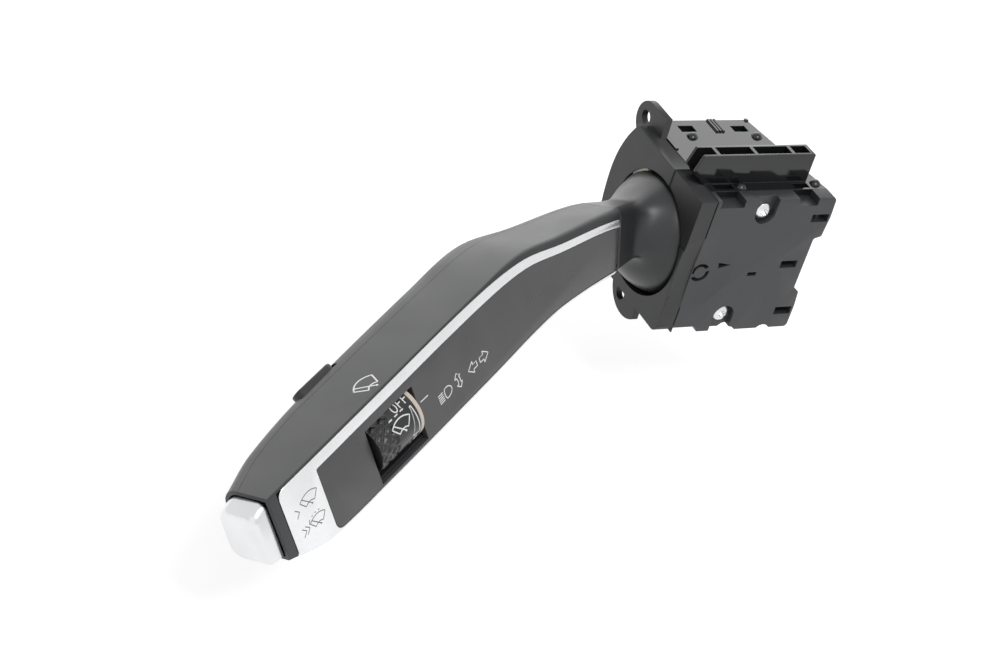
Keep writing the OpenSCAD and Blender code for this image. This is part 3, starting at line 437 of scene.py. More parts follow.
def beam_symbol():
    """Headlamp with its main beam."""
    lamp = [(0, 1.9), (0.4, 1.9)] + arc_points(0.4, 0, 2.6, 1.9, 90, -90, 12) + [(0, -1.9)]
    lamp += arc_points(0, 0, 0.7, 1.9, 270, 90, 8)
    return [closed(lamp)] + [[(-1.4, y), (-3.9, y)] for y in (-1.5, -0.75, 0, 0.75, 1.5)]


def block_arrow(turned):
    """Outlined arrow."""
    points = [(0, 0.8), (1.8, 0.8), (1.8, 1.9), (4.2, 0), (1.8, -1.9), (1.8, -0.8), (0, -0.8)]
    side = -1 if turned else 1
    return [closed([(side * x, y) for x, y in points])]


def flash_arrow():
    """Outlined double arrow that bows."""
    points = [(0, 3.4), (1.8, 1.5), (0.9, 1.5), (1.1, 0), (0.9, -1.5), (1.8, -1.5), (0, -3.4),
              (-1.8, -1.5), (-0.7, -1.5), (-0.4, 0), (-0.7, 1.5), (-1.8, 1.5)]
    return [closed(points)]


def letters_off():
    """The word for the rest position."""
    oval = arc_points(-2.9, 0, 1.0, 1.5, 0, 360, 16)
    marks = [oval + [oval[1]]]
    for x in (-0.9, 1.6):
        marks += [[(x, -1.5), (x, 1.5), (x + 1.7, 1.5)], [(x, 0.1), (x + 1.4, 0.1)]]
    return marks


# Solids, in millimetres about the centre of the dome's opening


def loft(rings):
    """Closed skin through rings of points with equal counts."""
    shape = bmesh.new()
    rows = [[shape.verts.new(point) for point in ring] for ring in rings]
    shape.faces.new(rows[0][::-1])
    shape.faces.new(rows[-1])
    for low, high in zip(rows, rows[1:]):
        for i in range(len(low)):
            j = (i + 1) % len(low)
            shape.faces.new((low[i], low[j], high[j], high[i]))
    bmesh.ops.recalc_face_normals(shape, faces=shape.faces)
    return shape


def prism(points, axis, low, high):
    """Outline pushed along an axis: given in (y, z), (x, z) or (x, y)."""
    place = {
        "x": lambda a, b, t: (t, a, b),
        "y": lambda a, b, t: (a, t, b),
        "z": lambda a, b, t: (a, b, t),
    }[axis]
    return loft([[place(a, b, t) for a, b in points] for t in (low, high)])


def block(p, q):
    """Box between two opposite corners."""
    return prism([(p[0], p[1]), (q[0], p[1]), (q[0], q[1]), (p[0], q[1])], "z", p[2], q[2])


def disc(cx, cy, r, steps=64):
    """Outline of a circle."""
    return arc_points(cx, cy, r, r, 0, 360 - 360 / steps, steps - 1)


def rounded(points, radii, steps=5):
    """Outline with its corners rounded; a radius of 0 leaves the corner."""
    result = []
    n = len(points)
    turns = [(Vector(point), radius) for point, radius in zip(points, radii) if radius]
    for i, (corner, radius) in enumerate(zip(points, radii)):
        here = Vector(corner)
        before = (Vector(points[i - 1]) - here).normalized()
        after = (Vector(points[(i + 1) % n]) - here).normalized()
        if not radius:
            if all((here - point).length > 1.1 * r for point, r in turns):
                result.append(tuple(here))
            continue
        half = before.angle(after) / 2
        reach = radius / math.tan(half)
        centre = here + (before + after).normalized() * (radius / math.sin(half))
        p, q = here + before * reach - centre, here + after * reach - centre
        for step in range(steps + 1):
            point = p.slerp(q, step / steps, p) if p.length else p
            result.append(tuple(centre + point.normalized() * radius))
    return result


def as_mesh(shape, name="part"):
    """Turns a solid into a mesh and lets the solid go."""
    mesh = bpy.data.meshes.new(name)
    shape.to_mesh(mesh)
    shape.free()
    return mesh


def shaped(base, prepare):
    """The mesh that modifiers make of a solid: prepare adds them and returns its helper objects."""
    holder = bpy.data.objects.new("base", as_mesh(base))
    bpy.context.scene.collection.objects.link(holder)
    helpers = prepare(holder)
    graph = bpy.context.evaluated_depsgraph_get()
    result = bmesh.new()
    result.from_mesh(holder.evaluated_get(graph).to_mesh())
    for item in [holder] + helpers:
        mesh = item.data
        bpy.data.objects.remove(item)
        bpy.data.meshes.remove(mesh)
    return result


def carve(base, *steps):
    """Takes solids away from a base, or joins them to it: each step is (join, solid)."""
    def prepare(holder):
        helpers = []
        for join, shape in steps:
            tool = bpy.data.objects.new("tool", as_mesh(shape))
            bpy.context.scene.collection.objects.link(tool)
            helpers.append(tool)
            step = holder.modifiers.new("step", "BOOLEAN")
            step.operation = "UNION" if join else "DIFFERENCE"
            step.solver = "EXACT"
            step.object = tool
        return helpers

    return shaped(base, prepare)


def cut_away(base, *shapes):
    """Takes solids away from a base."""
    return carve(base, *((False, shape) for shape in shapes))


def soften(shape, width, chosen, segments=4):
    """Rounds the edges that chosen picks by their two ends."""
    edges = [edge for edge in shape.edges if chosen(edge.verts[0].co, edge.verts[1].co)]
    bmesh.ops.bevel(
        shape, geom=edges, offset=width, offset_type="OFFSET", segments=segments, profile=0.5,
        affect="EDGES", material=-1, clamp_overlap=True)
    return shape


def add_shape(shape, more):
    """Puts one solid's faces into another."""
    mesh = as_mesh(more)
    shape.from_mesh(mesh)
    bpy.data.meshes.remove(mesh)


def cut_at(shape, x, keep_behind=False):
    """Cuts a solid across the opening's axis and keeps the side in front of it or behind."""
    bmesh.ops.bisect_plane(
        shape, geom=shape.verts[:] + shape.edges[:] + shape.faces[:], dist=1e-4,
        plane_co=(x, 0, 0), plane_no=(1, 0, 0),
        clear_inner=keep_behind, clear_outer=not keep_behind)


def copied(node, place):
    """A merged copy of a CAD node, back in millimetres."""
    shape = bmesh.new()
    shape.from_mesh(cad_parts[node].data)
    bmesh.ops.remove_doubles(shape, verts=shape.verts, dist=1e-6)
    bmesh.ops.transform(shape, matrix=place.inverted(), verts=shape.verts)
    return shape


def put_solid(name, shape, place, body, slot, material, *replaced, angle=28.0):
    """Puts a solid in the scene, smooth but for its edges."""
    bmesh.ops.remove_doubles(shape, verts=shape.verts, dist=1e-4)
    bmesh.ops.dissolve_degenerate(shape, edges=shape.edges, dist=1e-4)
    bmesh.ops.transform(shape, matrix=place, verts=shape.verts)
    for face in shape.faces:
        face.smooth = True
    mesh = as_mesh(shape, name)
    mesh.set_sharp_from_angle(angle=math.radians(angle))
    mesh.materials.append(material)
    return add_piece(name, mesh, body, slot, *replaced)


# Sections of the lever


def lever_section(s):
    """Place, middle height, height, tilt, front, back, lip above the strip, share of its width."""
    last = len(STATIONS) - 1
    i = max(j for j in range(last) if j == 0 or s >= STATIONS[j][0])
    length = STATIONS[i + 1][0] - STATIONS[i][0]
    t = (s - STATIONS[i][0]) / length

    def slope(j):
        a, b = STATIONS[max(j - 1, 0)], STATIONS[min(j + 1, last)]
        return [(q - p) / (b[0] - a[0]) * length for p, q in zip(a, b)]

    k = [
        p * (2 * t ** 3 - 3 * t * t + 1) + m * (t ** 3 - 2 * t * t + t)
        + q * (3 * t * t - 2 * t ** 3) + n * (t ** 3 - t * t)
        for p, q, m, n in zip(STATIONS[i], STATIONS[i + 1], slope(i), slope(i + 1))
    ]
    k[4] = min(k[4], GRIP_FRONT)
    return k


def at_section(k, out, up):
    """Place of a point of a section, which leans with the section."""
    tilt = math.radians(k[3])
    return (k[0] - up * math.sin(tilt), out, k[1] + up * math.cos(tilt))


def corner(x, y, r, start, end, steps=6):
    """Rounded corner of a section."""
    return arc_points(x, y, r, r, start, end, steps)


def rear_place():
    """Where the rear button stands, on the rounded edge between the back and the top."""
    k = lever_section(REAR_AT)
    return (
        Matrix.Translation((k[0], BACK_ROUND - k[5], k[1] + k[2] / 2 - BACK_ROUND))
        @ Matrix.Rotation(math.radians(45), 4, "X"))


def wall_at(s):
    """The shell's wall, which gets thinner towards the tip."""
    return SHELL_WALL + (TIP_WALL - SHELL_WALL) * min(1, max(0, (s - LEVER_LEN + 20) / 14))


def full_outline(k, inset):
    """Outer skin of a section, a given way in."""
    f, b, h = k[4] - inset, -k[5] + inset, k[2] / 2 - inset
    back, low, top = max(BACK_ROUND - inset, 1), max(1.6 - inset, 0.6), max(k[6] - inset, 0.6)
    return (
        corner(f - top, h - top, top, 0, 90) + corner(b + back, h - back, back, 90, 180)
        + corner(b + back, -h + back, back, 180, 270) + corner(f - low, -h + low, low, 270, 360))


def front_outline(k, seat, depth, wall):
    """Front half of the shell, with a seat for the panel and a lip above it."""
    h, f, inner, lip = k[2] / 2, k[4] - seat, k[4] - depth, k[6]
    split = max(SPLIT, -k[5] + BACK_ROUND + 0.3) + 0.05
    top = lip - 0.05
    return (
        [(split + 0.02, -h)] + corner(f - 0.8, -h + 0.8, 0.8, 270, 360, 3)
        + [(f, h - lip - 0.05), (k[4], h - lip)] + corner(k[4] - top, h - top, top, 0, 90)
        + [(split, h), (split, h - wall), (inner, h - wall), (inner, -h + wall)]
        + [(split + 0.02, -h + wall)])


def back_outline(k, wall):
    """Back half of the shell."""
    h, b = k[2] / 2, -k[5]
    split = max(SPLIT, b + BACK_ROUND + 0.3)
    out, inside = BACK_ROUND, BACK_ROUND - wall
    return (
        [(split, h)] + corner(b + out, h - out, out, 90, 180, 8)
        + corner(b + out, -h + out, out, 180, 270, 8)
        + [(split, -h), (split, -h + wall)] + corner(b + out, -h + out, inside, 270, 180, 8)
        + corner(b + out, h - out, inside, 180, 90, 8) + [(split, h - wall)])


def stretch(low, high, count):
    """Places at equal steps from low to high."""
    return [low + (high - low) * i / count for i in range(count + 1)]


def lever_loft(spans):
    """Skin through sections of the lever: each span is (places, outline of a section)."""
    return loft([
        [at_section(k, *point) for point in outline(k)]
        for places, outline in spans for k in map(lever_section, places)
    ])


def strip_drop(k, low):
    """Depth of the strip's upper or lower edge below the top of the section."""
    return k[6] + TRIM_GAP + (STRIP_W * k[7] if low else 0)


def face_edge(drop, low, high, from_top, count=46):
    """Points (along, up) of a line on the front face, a given way from its top or bottom."""
    points = []
    for k in map(lever_section, stretch(low, high, count)):
        x, _, z = at_section(k, 0, k[2] / 2 - drop(k) if from_top else drop(k) - k[2] / 2)
        points.append((x, z))
    return points


def face_plate(low_in, top_in, start, end, depth, corners):
    """Plate let into the front face; its four corners start at the root's low one."""
    low = face_edge(lambda k: low_in, start, end, False)
    top = face_edge(top_in, start, end, True)[::-1]
    points = low + top
    radii = [0] * len(points)
    for index, radius in zip((0, len(low) - 1, len(low), len(points) - 1), corners):
        radii[index] = radius
    return prism(rounded(points, radii, 7), "y", GRIP_FRONT - depth, GRIP_FRONT)


def front_rim(shape, width, segments=3):
    """Rounds the front edges of a plate."""
    def chosen(p, q):
        return abs(p.y - GRIP_FRONT) < 1e-3 and abs(q.y - GRIP_FRONT) < 1e-3

    return soften(shape, width, chosen, segments)


# Operators


class STALK_OT_housing(bpy.types.Operator):
    """Makes the moulded housing, its cover and terminal plate, and finishes the screws"""

    bl_idname = "stalk.housing"
    bl_label = "Housing"

    def front_block(self):
        """Block with the dome's opening, its ears and the rounded front edges."""
        reach, middle, step, grow = 30.2, 6, 0.35, Vector((0.05, 0.05, 0.05))
        low_r, high_r = 80, 39.5
        face = [(NEAR_Y, LOW_Z)]
        for z in stretch(LOW_Z, middle, 16)[:-1]:
            face.append((reach - low_r + math.sqrt(low_r ** 2 - (z - middle) ** 2), z))
        for z in stretch(middle, TOP_Z, 14):
            face.append((reach - high_r + math.sqrt(high_r ** 2 - (z - middle) ** 2), z))
        face.append((NEAR_Y, TOP_Z))
        radii = [3.0] + [0] * (len(face) - 1)
        front = prism(rounded(face, radii), "x", 0, BLOCK_T)

        def top_or_near(p, q):
            on_front = abs(p.x) + abs(q.x) < 1e-3
            return on_front and (p.z + q.z > 2 * TOP_Z - 0.1 or abs(p.y + q.y - 2 * NEAR_Y) < 0.1)

        def bottom(p, q):
            return abs(p.x) + abs(q.x) < 1e-3 and p.z + q.z < 2 * LOW_Z + 0.1

        soften(front, 1.6, top_or_near, 5)
        soften(front, 3.4, bottom, 5)
        (top_y, top_z), top_r = (25.0, 29.0), 7.3
        top_ear = [(y, z) for y, z in disc(top_y, top_z, top_r, 96) if y > top_y]
        top_ear.sort(key=lambda point: point[1])
        top_ear += [(14.8, top_z + top_r), (14.5, TOP_Z - 1.0)]
        low_ear = [(max(-3.6, y), z) for y, z in disc(3.6, -26.8, 11.0, 96)]
        ears = []
        for outline, hole in ((top_ear, (26.5, 30.0)), (low_ear, (7.5, -31.5))):
            ear = prism(outline, "x", BLOCK_T - EAR_T, BLOCK_T)
            ears.append(cut_away(ear, prism(disc(*hole, EAR_HOLE_R, 32), "x", 0, 10)))
        steps = [(True, ear) for ear in ears]
        steps += [
            (False, prism(disc(0, 0, OPENING_R, 128), "x", -1, 9)),
            (False, prism(disc(0, 0, DOME_R + DOME_GAP, 128), "x", 2, 9)),
            (False, block((-1, -25, 8), (step, -4, 30))),
            (False, block((-1, -25, TOP_Z - step), (9, -4, 30))),
            (False, self.dish()),
        ]
        for node in ("stop_pad", "guide_shoe"):
            low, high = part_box(node)
            low, high = (HOUSING_PLACE.inverted() @ Vector(point) for point in (low, high))
            steps.append((False, block(low - grow, high + grow)))
        return carve(front, *steps)

    def dish(self):
        """Shallow round dish round the ring mark."""
        depth, width = 0.8, 14.5
        ball = (width ** 2 + depth ** 2) / (2 * depth)
        rings = []
        for r in (18, 16, 14, 12, 9, 6, 3, 0.2):
            y = depth + NEAR_Y - ball + math.sqrt(ball * ball - r * r)
            rings.append([(8.5 + a, y, -1 + b) for a, b in disc(0, 0, r, 80)])
        return loft([[(x, NEAR_Y - 2, z) for x, _, z in rings[0]]] + rings)

    def cover(self):
        """Flat cover on the near side, with its notches, windows, ring mark and screw recesses."""
        low = LOW_Z - 0.5
        outline = [
            (BLOCK_T, TOP_Z), (56, TOP_Z), (56.4, 20.5), (55.7, 12.4), (52.8, 11.4), (52.8, -9.4),
            (55.4, -11.4), (56, -17.4), (56, low), (BLOCK_T + 3, low), (BLOCK_T, LOW_Z + 1.4)]
        outline = rounded(outline, [0, 1.5, 0, 0.8, 0.8, 0.8, 0.8, 0, 1.5, 0, 0])
        plate = prism(outline, "y", NEAR_Y, NEAR_Y + COVER_T)

        def near_face(p, q):
            return abs(p.y - NEAR_Y) + abs(q.y - NEAR_Y) < 1e-3 and p.x + q.x > 15

        soften(plate, 0.3, near_face, 2)

        def through(points, depth=10):
            return prism(points, "y", NEAR_Y - 1, NEAR_Y + depth)

        def window(x, z, w, h):
            return through([(x, z), (x + w, z), (x + w, z + h), (x, z + h)])

        cuts = [
            window(8.5, TOP_Z - 2.9, 9.6, 4), window(40.4, TOP_Z - 2.9, 8.2, 4),
            through([(5, low - 1), (6.5, low + 2.4), (16, low + 2.4), (18.2, low - 1)]),
            window(BOX_END - 7.7, TOP_Z - 9.8, 7, 3.1), window(BOX_END - 8.1, low + 5.8, 7, 3.1),
            window(BOX_END - 13.3, -0.4, 6.8, 2.9), window(30, -3.2, 3.6, 1.5),
            self.dish(), prism(disc(0, 0, DOME_R + DOME_GAP, 128), "x", 6, BLOCK_T + 1.4),
            through([(16.6, 2.6), (21.8, 1.8), (17.2, 0.2)], RECESS),
        ]
        for x in (30.6, 45.4):
            cuts.append(through(disc(x, low - 1.9, 3.4, 40)))
        for (x, z), way in zip(SCREWS, (1, -1)):
            left, right, end = x - SCREW_R, x + SCREW_R, z + way * 26
            cuts.append(through(disc(x, z, SCREW_R, 48), RECESS))
            cuts.append(through([(left, z), (right, z), (right, end), (left, end)], RECESS))
            cuts.append(through(disc(x, z, 1.45, 24)))
        for start in (30, 210):
            ring = arc_points(10.4, -1.4, 3.6, 3.6, start + 6, start + 162, 20)
            ring += arc_points(10.4, -1.4, 2.3, 2.3, start + 160, start + 8, 20)
            cuts.append(through(ring, RECESS))
        return cut_away(plate, *cuts)

    def terminal_plate(self):
        """Plate on top, with its windows, keys and the connector shroud."""
        slant = 7.6
        far, near, edge = FAR_Y, NEAR_Y + COVER_T, BOX_END - 1
        plan = [(BLOCK_T, near), (edge, near), (edge - slant, far), (BLOCK_T, far)]
        gap = edge - 8.6
        plate = prism(plan, "z", TOP_Z - PLATE_T, TOP_Z)
        windows = (
            (16, 19, 6.2, 3.9), (38, 18.7, 6, 3.7), (9.6, -16.4, 7.6, 3), (42.2, -16.8, 6.2, 2.8))
        steps = [
            (False, block((x, y, TOP_Z - 3), (x + w, y + h, TOP_Z + 1))) for x, y, w, h in windows]
        x, y, w, tall, wall = 3.3, -13, 6.6, 11, 1.1
        end = x + 45.7
        side = [
            (x, TOP_Z + tall), (x - 2, TOP_Z + 4.9), (x + 3.4, TOP_Z - 1), (end, TOP_Z - 1),
            (end, TOP_Z + tall)]
        shroud = prism(side, "y", y, y + w)
        soften(shroud, 0.25, lambda p, q: p.z + q.z > 2 * (TOP_Z + tall) - 0.1, 2)
        cells = [
            block((x + start, y + wall, TOP_Z + 2), (x + stop, y + w - wall, TOP_Z + 12))
            for start, stop in ((7, 21), (22.4, 36.4), (37.8, 44.2), (-3, 5.6))]
        steps.append((True, cut_away(shroud, *cells)))
        for i in range(3):
            key = 30.2 + 1.3 * i
            steps.append((True, block((key, 18.6, TOP_Z - 1), (key + 0.8, far, TOP_Z + 0.6))))
        rims = (
            [(BLOCK_T, 8), (BLOCK_T + 1.3, 8), (BLOCK_T + 1.3, far - 1.3), (BLOCK_T, far - 1.3)],
            [(gap, far - 1.1), (gap + 1.2, far - 1.1), (gap + 1.2, far + 0.1), (gap, far + 0.1)],
        )
        for rim in rims:
            steps.append((True, prism(rim, "z", TOP_Z - 1, TOP_Z + 0.5)))
        return carve(plate, *steps)

    def execute(self, context):
        finish = context.scene.stalk_finish
        body = moulded("housing plastic", finish.housing_colour, 0.5, 0.00002)
        # Painted light: the cover is the housing's plastic with its colour made 2.2 times lighter,
        # a lit copy of the same material beside the darker housing
        cover = moulded("cover plastic", [c * 2.2 for c in finish.housing_colour], 0.42, 0.000016)
        plate = moulded("terminal plate plastic", finish.plate_colour, 0.1, 0.000003)
        box = copied("switch_housing", HOUSING_PLACE)
        cut_at(box, BLOCK_T - 0.4, keep_behind=True)
        rims = [edge for edge in box.edges if edge.is_boundary]
        bmesh.ops.triangle_fill(box, use_beauty=True, edges=rims)
        add_shape(box, self.front_block())
        here = (HOUSING_PLACE, "housing")
        put_solid("housing_skin", box, *here, "housing_plastic", body, "switch_housing")
        put_solid("cover_skin", self.cover(), *here, "cover_plastic", cover, "cover_plate")
        put_solid(
            "terminal_skin", self.terminal_plate(), *here, "plate_plastic", plate, "terminal_plate")
        dress("heat_stakes", moulded("stake plastic", finish.plate_colour, 0.16, 0.000004))
        dress("terminal_blades", metal("tinned brass", (0.72, 0.62, 0.4), 0.28))
        dress("cover_screws", metal("bright zinc", (0.72, 0.73, 0.74), 0.24))
        dress("circuit_board", moulded("board laminate", (0.02, 0.1, 0.045), 0.36))
        return {"FINISHED"}


class STALK_OT_mechanism(bpy.types.Operator):
    """Finishes the gimbal, detent and contact pieces inside the housing"""

    bl_idname = "stalk.mechanism"
    bl_label = "Mechanism"

    def execute(self, context):
        natural = moulded("natural acetal", (0.62, 0.57, 0.46), 0.42, 0.000006, 0.05)
        blue = moulded("blue acetal", (0.03, 0.16, 0.4), 0.4, 0.000006, 0.08)
        steel = metal("drawn steel", (0.6, 0.61, 0.63), 0.26, (1, 1, 8))
        core = moulded("filled nylon", (0.018, 0.019, 0.021), 0.5)
        for node in ("detent_track", "gimbal_yoke", "guide_shoe", "drum_cam"):
            dress(node, natural)
        for node in ("stop_pad", "contact_slider"):
            dress(node, blue)
        for node in (
            "cross_pin", "detent_plunger", "detent_spring", "drum_spindle", "button_spring",
        ):
            dress(node, steel)
        for node in (
            "lever_arm", "lever_core", "drum_cradle", "button_guide", "button_switch",
            "rear_switch",
        ):
            dress(node, core)
        dress("shell_screws", metal("screw zinc", (0.5, 0.51, 0.52), 0.3))
        dress("lever_board", moulded("lever board laminate", (0.02, 0.1, 0.045), 0.36))
        dress("board_lead", moulded("film lead", (0.28, 0.12, 0.03), 0.3, 0.000002))
        dress("drum_detent_leaf", metal("leaf bronze", (0.62, 0.45, 0.24), 0.3))
        return {"FINISHED"}


class STALK_OT_lever(bpy.types.Operator):
    """Makes the lever's shells and its neck with the dome"""

    bl_idname = "stalk.lever"
    bl_label = "Lever"

    def shells(self):
        """Front and back half of the shell."""
        step = LEVER_LEN - TIP_BAND
        body, rib = stretch(NECK_END, step, 60), [step + 0.3, step + 0.8]
        mouth = stretch(step + 1.1, LEVER_LEN, 3)
        inner = PANEL_T + wall_at(step)
        front = lever_loft([
            (body, lambda k: front_outline(k, PANEL_T, PANEL_T + wall_at(k[0]), wall_at(k[0]))),
            (rib, lambda k: front_outline(k, 0, inner, wall_at(k[0]))),
            (mouth, lambda k: front_outline(k, 0, wall_at(k[0]), wall_at(k[0]))),
        ])
        start, end, low, high = WINDOW
        seat = block((start - 1.2, 0, low + 1), (end + 1.2, GRIP_FRONT + 1, high + 1.9))
        front = cut_away(front, seat)
        back = lever_loft([(body + rib + mouth, lambda k: back_outline(k, wall_at(k[0])))])
        opening = block((-9, -3.5, 0), (9, 3.5, 9))
        bmesh.ops.transform(opening, matrix=rear_place(), verts=opening.verts)
        cuts = [opening]
        for s in SHELL_SCREWS_AT:
            k = lever_section(s)
            x, _, z = at_section(k, 0, -8.6)
            cuts.append(prism(disc(x, z, 2.05, 32), "y", -k[5] - 1, -k[5] + 1.8))
            cuts.append(prism(disc(x, z, 1.05, 20), "y", -k[5] - 1, -k[5] + 5))
        return front, cut_away(back, *cuts)

    def neck(self):
        """Neck that flares into the dome, which is hollow."""
        ball = bmesh.new()
        bmesh.ops.create_icosphere(ball, subdivisions=5, radius=DOME_R)
        centre = LEVER_TURN.inverted() @ DOME_CENTRE
        bmesh.ops.translate(ball, verts=ball.verts, vec=centre)
        stub = lever_loft([(stretch(NECK_START, NECK_END, 24), lambda k: full_outline(k, 0))])
        add_shape(ball, stub)

        def remesh(holder):
            cells = holder.modifiers.new("cells", "REMESH")
            cells.mode = "VOXEL"
            cells.voxel_size = 0.55
            return []

        skin = shaped(ball, remesh)
        points = np.array([vertex.co for vertex in skin.verts])
        for _ in range(5):
            value, slope = self.field(points, np.array(centre))
            move = value[:, None] * slope
            near = (np.abs(value) < 3) & (points[:, 0] < NECK_END - 0.3 - 0.5 * (points[:, 2] - 15))
            points[near] -= move[near]
        for vertex, point in zip(skin.verts, points):
            vertex.co = point
        bmesh.ops.transform(skin, matrix=LEVER_TURN.to_4x4(), verts=skin.verts)
        cut_at(skin, DOME_EDGE)
        hollow = bmesh.new()
        bmesh.ops.create_uvsphere(hollow, u_segments=96, v_segments=64, radius=DOME_R - DOME_WALL)
        bmesh.ops.translate(hollow, verts=hollow.verts, vec=DOME_CENTRE)
        cut_at(hollow, DOME_EDGE)
        add_shape(skin, hollow)
        rims = [edge for edge in skin.edges if edge.is_boundary]
        bmesh.ops.bridge_loops(skin, edges=rims)
        bmesh.ops.recalc_face_normals(skin, faces=skin.faces)
        return skin

    def field(self, points, centre, blend=7.0, reach=0.01):
        """Distance to the dome and neck, smoothly joined, and its direction."""
        table = np.array([lever_section(s) for s in stretch(NECK_START, NECK_END + 4, 60)])

        def distance(at):
            tilt = math.radians(NECK_TILT)
            s = at[:, 0].copy()
            for _ in range(4):
                middle = np.interp(s, table[:, 0], table[:, 1])
                up = (at[:, 2] - middle) / math.cos(tilt)
                s = at[:, 0] + up * math.sin(tilt)
            half, front, back, lip = (np.interp(s, table[:, 0], table[:, i]) for i in (2, 4, 5, 6))
            half = half / 2
            out, is_top, is_back = at[:, 1], up > 0, at[:, 1] < 0
            radius = np.where(is_back, BACK_ROUND, np.where(is_top, lip, 1.6))
            x = np.where(is_back, -out - back, out - front) + radius
            y = np.abs(up) - half + radius
            inside = np.minimum(np.maximum(x, y), 0)
            box = inside + np.hypot(np.maximum(x, 0), np.maximum(y, 0)) - radius
            ball = np.linalg.norm(at - centre, axis=1) - DOME_R
            both = np.maximum(blend - np.abs(box - ball), 0) / blend
            return np.minimum(box, ball) - both * both * blend / 4

        value = distance(points)
        slope = np.stack(
            [(distance(points + reach * axis) - value) / reach for axis in np.eye(3)], axis=1)
        return value, slope / np.maximum((slope * slope).sum(axis=1), 0.2)[:, None]

    def execute(self, context):
        finish = context.scene.stalk_finish
        skin = moulded("lever plastic", finish.lever_colour, 0.4, 0.000010)
        neck = moulded("neck plastic", finish.lever_colour, 0.34, 0.000014)
        front, back = self.shells()
        put_solid(
            "front_shell_skin", front, LEVER_PLACE, "lever", "lever_plastic", skin, "front_shell")
        put_solid(
            "back_shell_skin", back, LEVER_PLACE, "lever", "lever_plastic", skin, "back_shell")
        put_solid(
            "lever_neck_skin", self.neck(), HOUSING_PLACE, "lever", "lever_plastic", neck,
            "lever_neck", angle=50)
        return {"FINISHED"}


class STALK_OT_trim(bpy.types.Operator):
    """Makes the front panel, the bright trim and the buttons"""

    bl_idname = "stalk.trim"
    bl_label = "Trim and buttons"

    def panel(self):
        """Front panel with the drum's window and a bevelled root."""
        start, end = NECK_END + GAP, LEVER_LEN - TIP_BAND - GAP - PLATE_L
        plate = face_plate(
            LINE_W + GAP, lambda k: strip_drop(k, True) + GAP, start, end, PANEL_T,
            (3.4, 2.8, 0.5, 0.5))
        front_rim(plate, 0.35)
        s0, s1, low, high = WINDOW
        k = lever_section(NECK_END)
        root = block((-6, 0, -2), (0, PANEL_T, k[2] + 2))
        x, _, z = at_section(k, 0, -k[2] / 2)
        bmesh.ops.transform(
            root, verts=root.verts, matrix=Matrix.Translation((x, GRIP_FRONT, z))
            @ Matrix.Rotation(math.radians(-k[3]), 4, "Y") @ Matrix.Translation((2.6, 0, 0))
            @ Matrix.Rotation(math.atan(1.1 / 2.6), 4, "Z"))
        window = block((s0, 0, low), (s1, GRIP_FRONT + 1, high))
        room = [(DRUM_FRONT + y, DRUM_UP + z) for y, z in disc(0, 0, DRUM_R + 0.4, 128)]
        return cut_away(plate, window, prism(room, "x", s0, s1), root)

    def strip(self):
        """Bright strip, end plate and the thin line under the panel, in one piece."""
        start, end = NECK_END + GAP, LEVER_LEN - TIP_BAND - GAP
        plate = face_plate(
            0, lambda k: strip_drop(k, False), start, end, PANEL_T, (3.6, 1.2, 3.4, 1.6))
        front_rim(plate, 0.5, 4)
        inside = face_plate(
            LINE_W, lambda k: strip_drop(k, True), NECK_END - 2, end - PLATE_L + GAP, PANEL_T + 1,
            (0, 2.95, 0.6, 0))
        bmesh.ops.translate(inside, verts=inside.verts, vec=(0, 0.5, 0))
        return cut_away(plate, inside)

    def button(self):
        """End button with a rounded face and a stem."""
        edge, end = TIP_WALL + 0.35, LEVER_LEN + 6.6
        k = list(lever_section(LEVER_LEN))

        def ring(x, inset, drop, cut=0.0):
            here = k[:4] + [k[4] - cut, k[5], 3.0 + inset, 1]
            return [(x, p, k[1] + q - (drop if q > 0 else 0)) for p, q in full_outline(here, inset)]

        rings = [ring(LEVER_LEN - 8, edge, 0, PANEL_T), ring(LEVER_LEN, edge, 0, PANEL_T)]
        rings += [ring(LEVER_LEN + 0.2, edge, 0), ring(LEVER_LEN + 2, edge, 0.2)]
        rings.append(ring(end - 3, edge + 0.1, 0.6))
        for i in range(1, 7):
            across, out = math.cos(math.radians(15 * i)), math.sin(math.radians(15 * i))
            rings.append(ring(
                end - 2.8 * (1 - out), edge + 0.1 + 2.6 * (1 - across), 0.6 + 0.5 * out))
        return loft(rings)

    def rear(self):
        """Slim pill that stands out of the back edge."""
        half, end, high = 8.6, 2.6, 2.9
        outline = arc_points(-half + end, 0, end, high, 90, 270, 10)
        outline += arc_points(half - end, 0, end, high, -90, 90, 10)
        pill = prism(outline, "z", BACK_ROUND - SHELL_WALL - 1.6, BACK_ROUND + 1.4)
        soften(pill, 0.7, lambda p, q: p.z + q.z > 2 * BACK_ROUND + 2.7, 4)
        bmesh.ops.transform(pill, matrix=rear_place(), verts=pill.verts)
        return pill

    def execute(self, context):
        finish = context.scene.stalk_finish
        bright = metal("satin metallised trim", finish.trim_colour, 0.26, scale=5000.0)
        # Painted shade: the end button is the trim's metal with its colour made 0.92 times darker,
        # a shaded copy that keeps the brightly lit button from glaring
        button = metal("satin button", [c * 0.92 for c in finish.trim_colour], 0.2, scale=5000.0)
        panel = moulded("panel plastic", finish.panel_colour, 0.3, 0.000004)
        put_solid(
            "front_panel_skin", self.panel(), LEVER_PLACE, "lever", "panel_plastic", panel,
            "front_panel")
        put_solid(
            "chrome_trim_skin", self.strip(), LEVER_PLACE, "lever", "satin_trim", bright,
            "chrome_trim")
        put_solid(
            "end_button_skin", self.button(), LEVER_PLACE, "end_button", "satin_trim", button,
            "end_button", angle=40)
        put_solid(
            "rear_button_skin", self.rear(), LEVER_PLACE, "rear_button", "drum_plastic",
            moulded("button plastic", finish.plate_colour, 0.4), "rear_button")
        return {"FINISHED"}


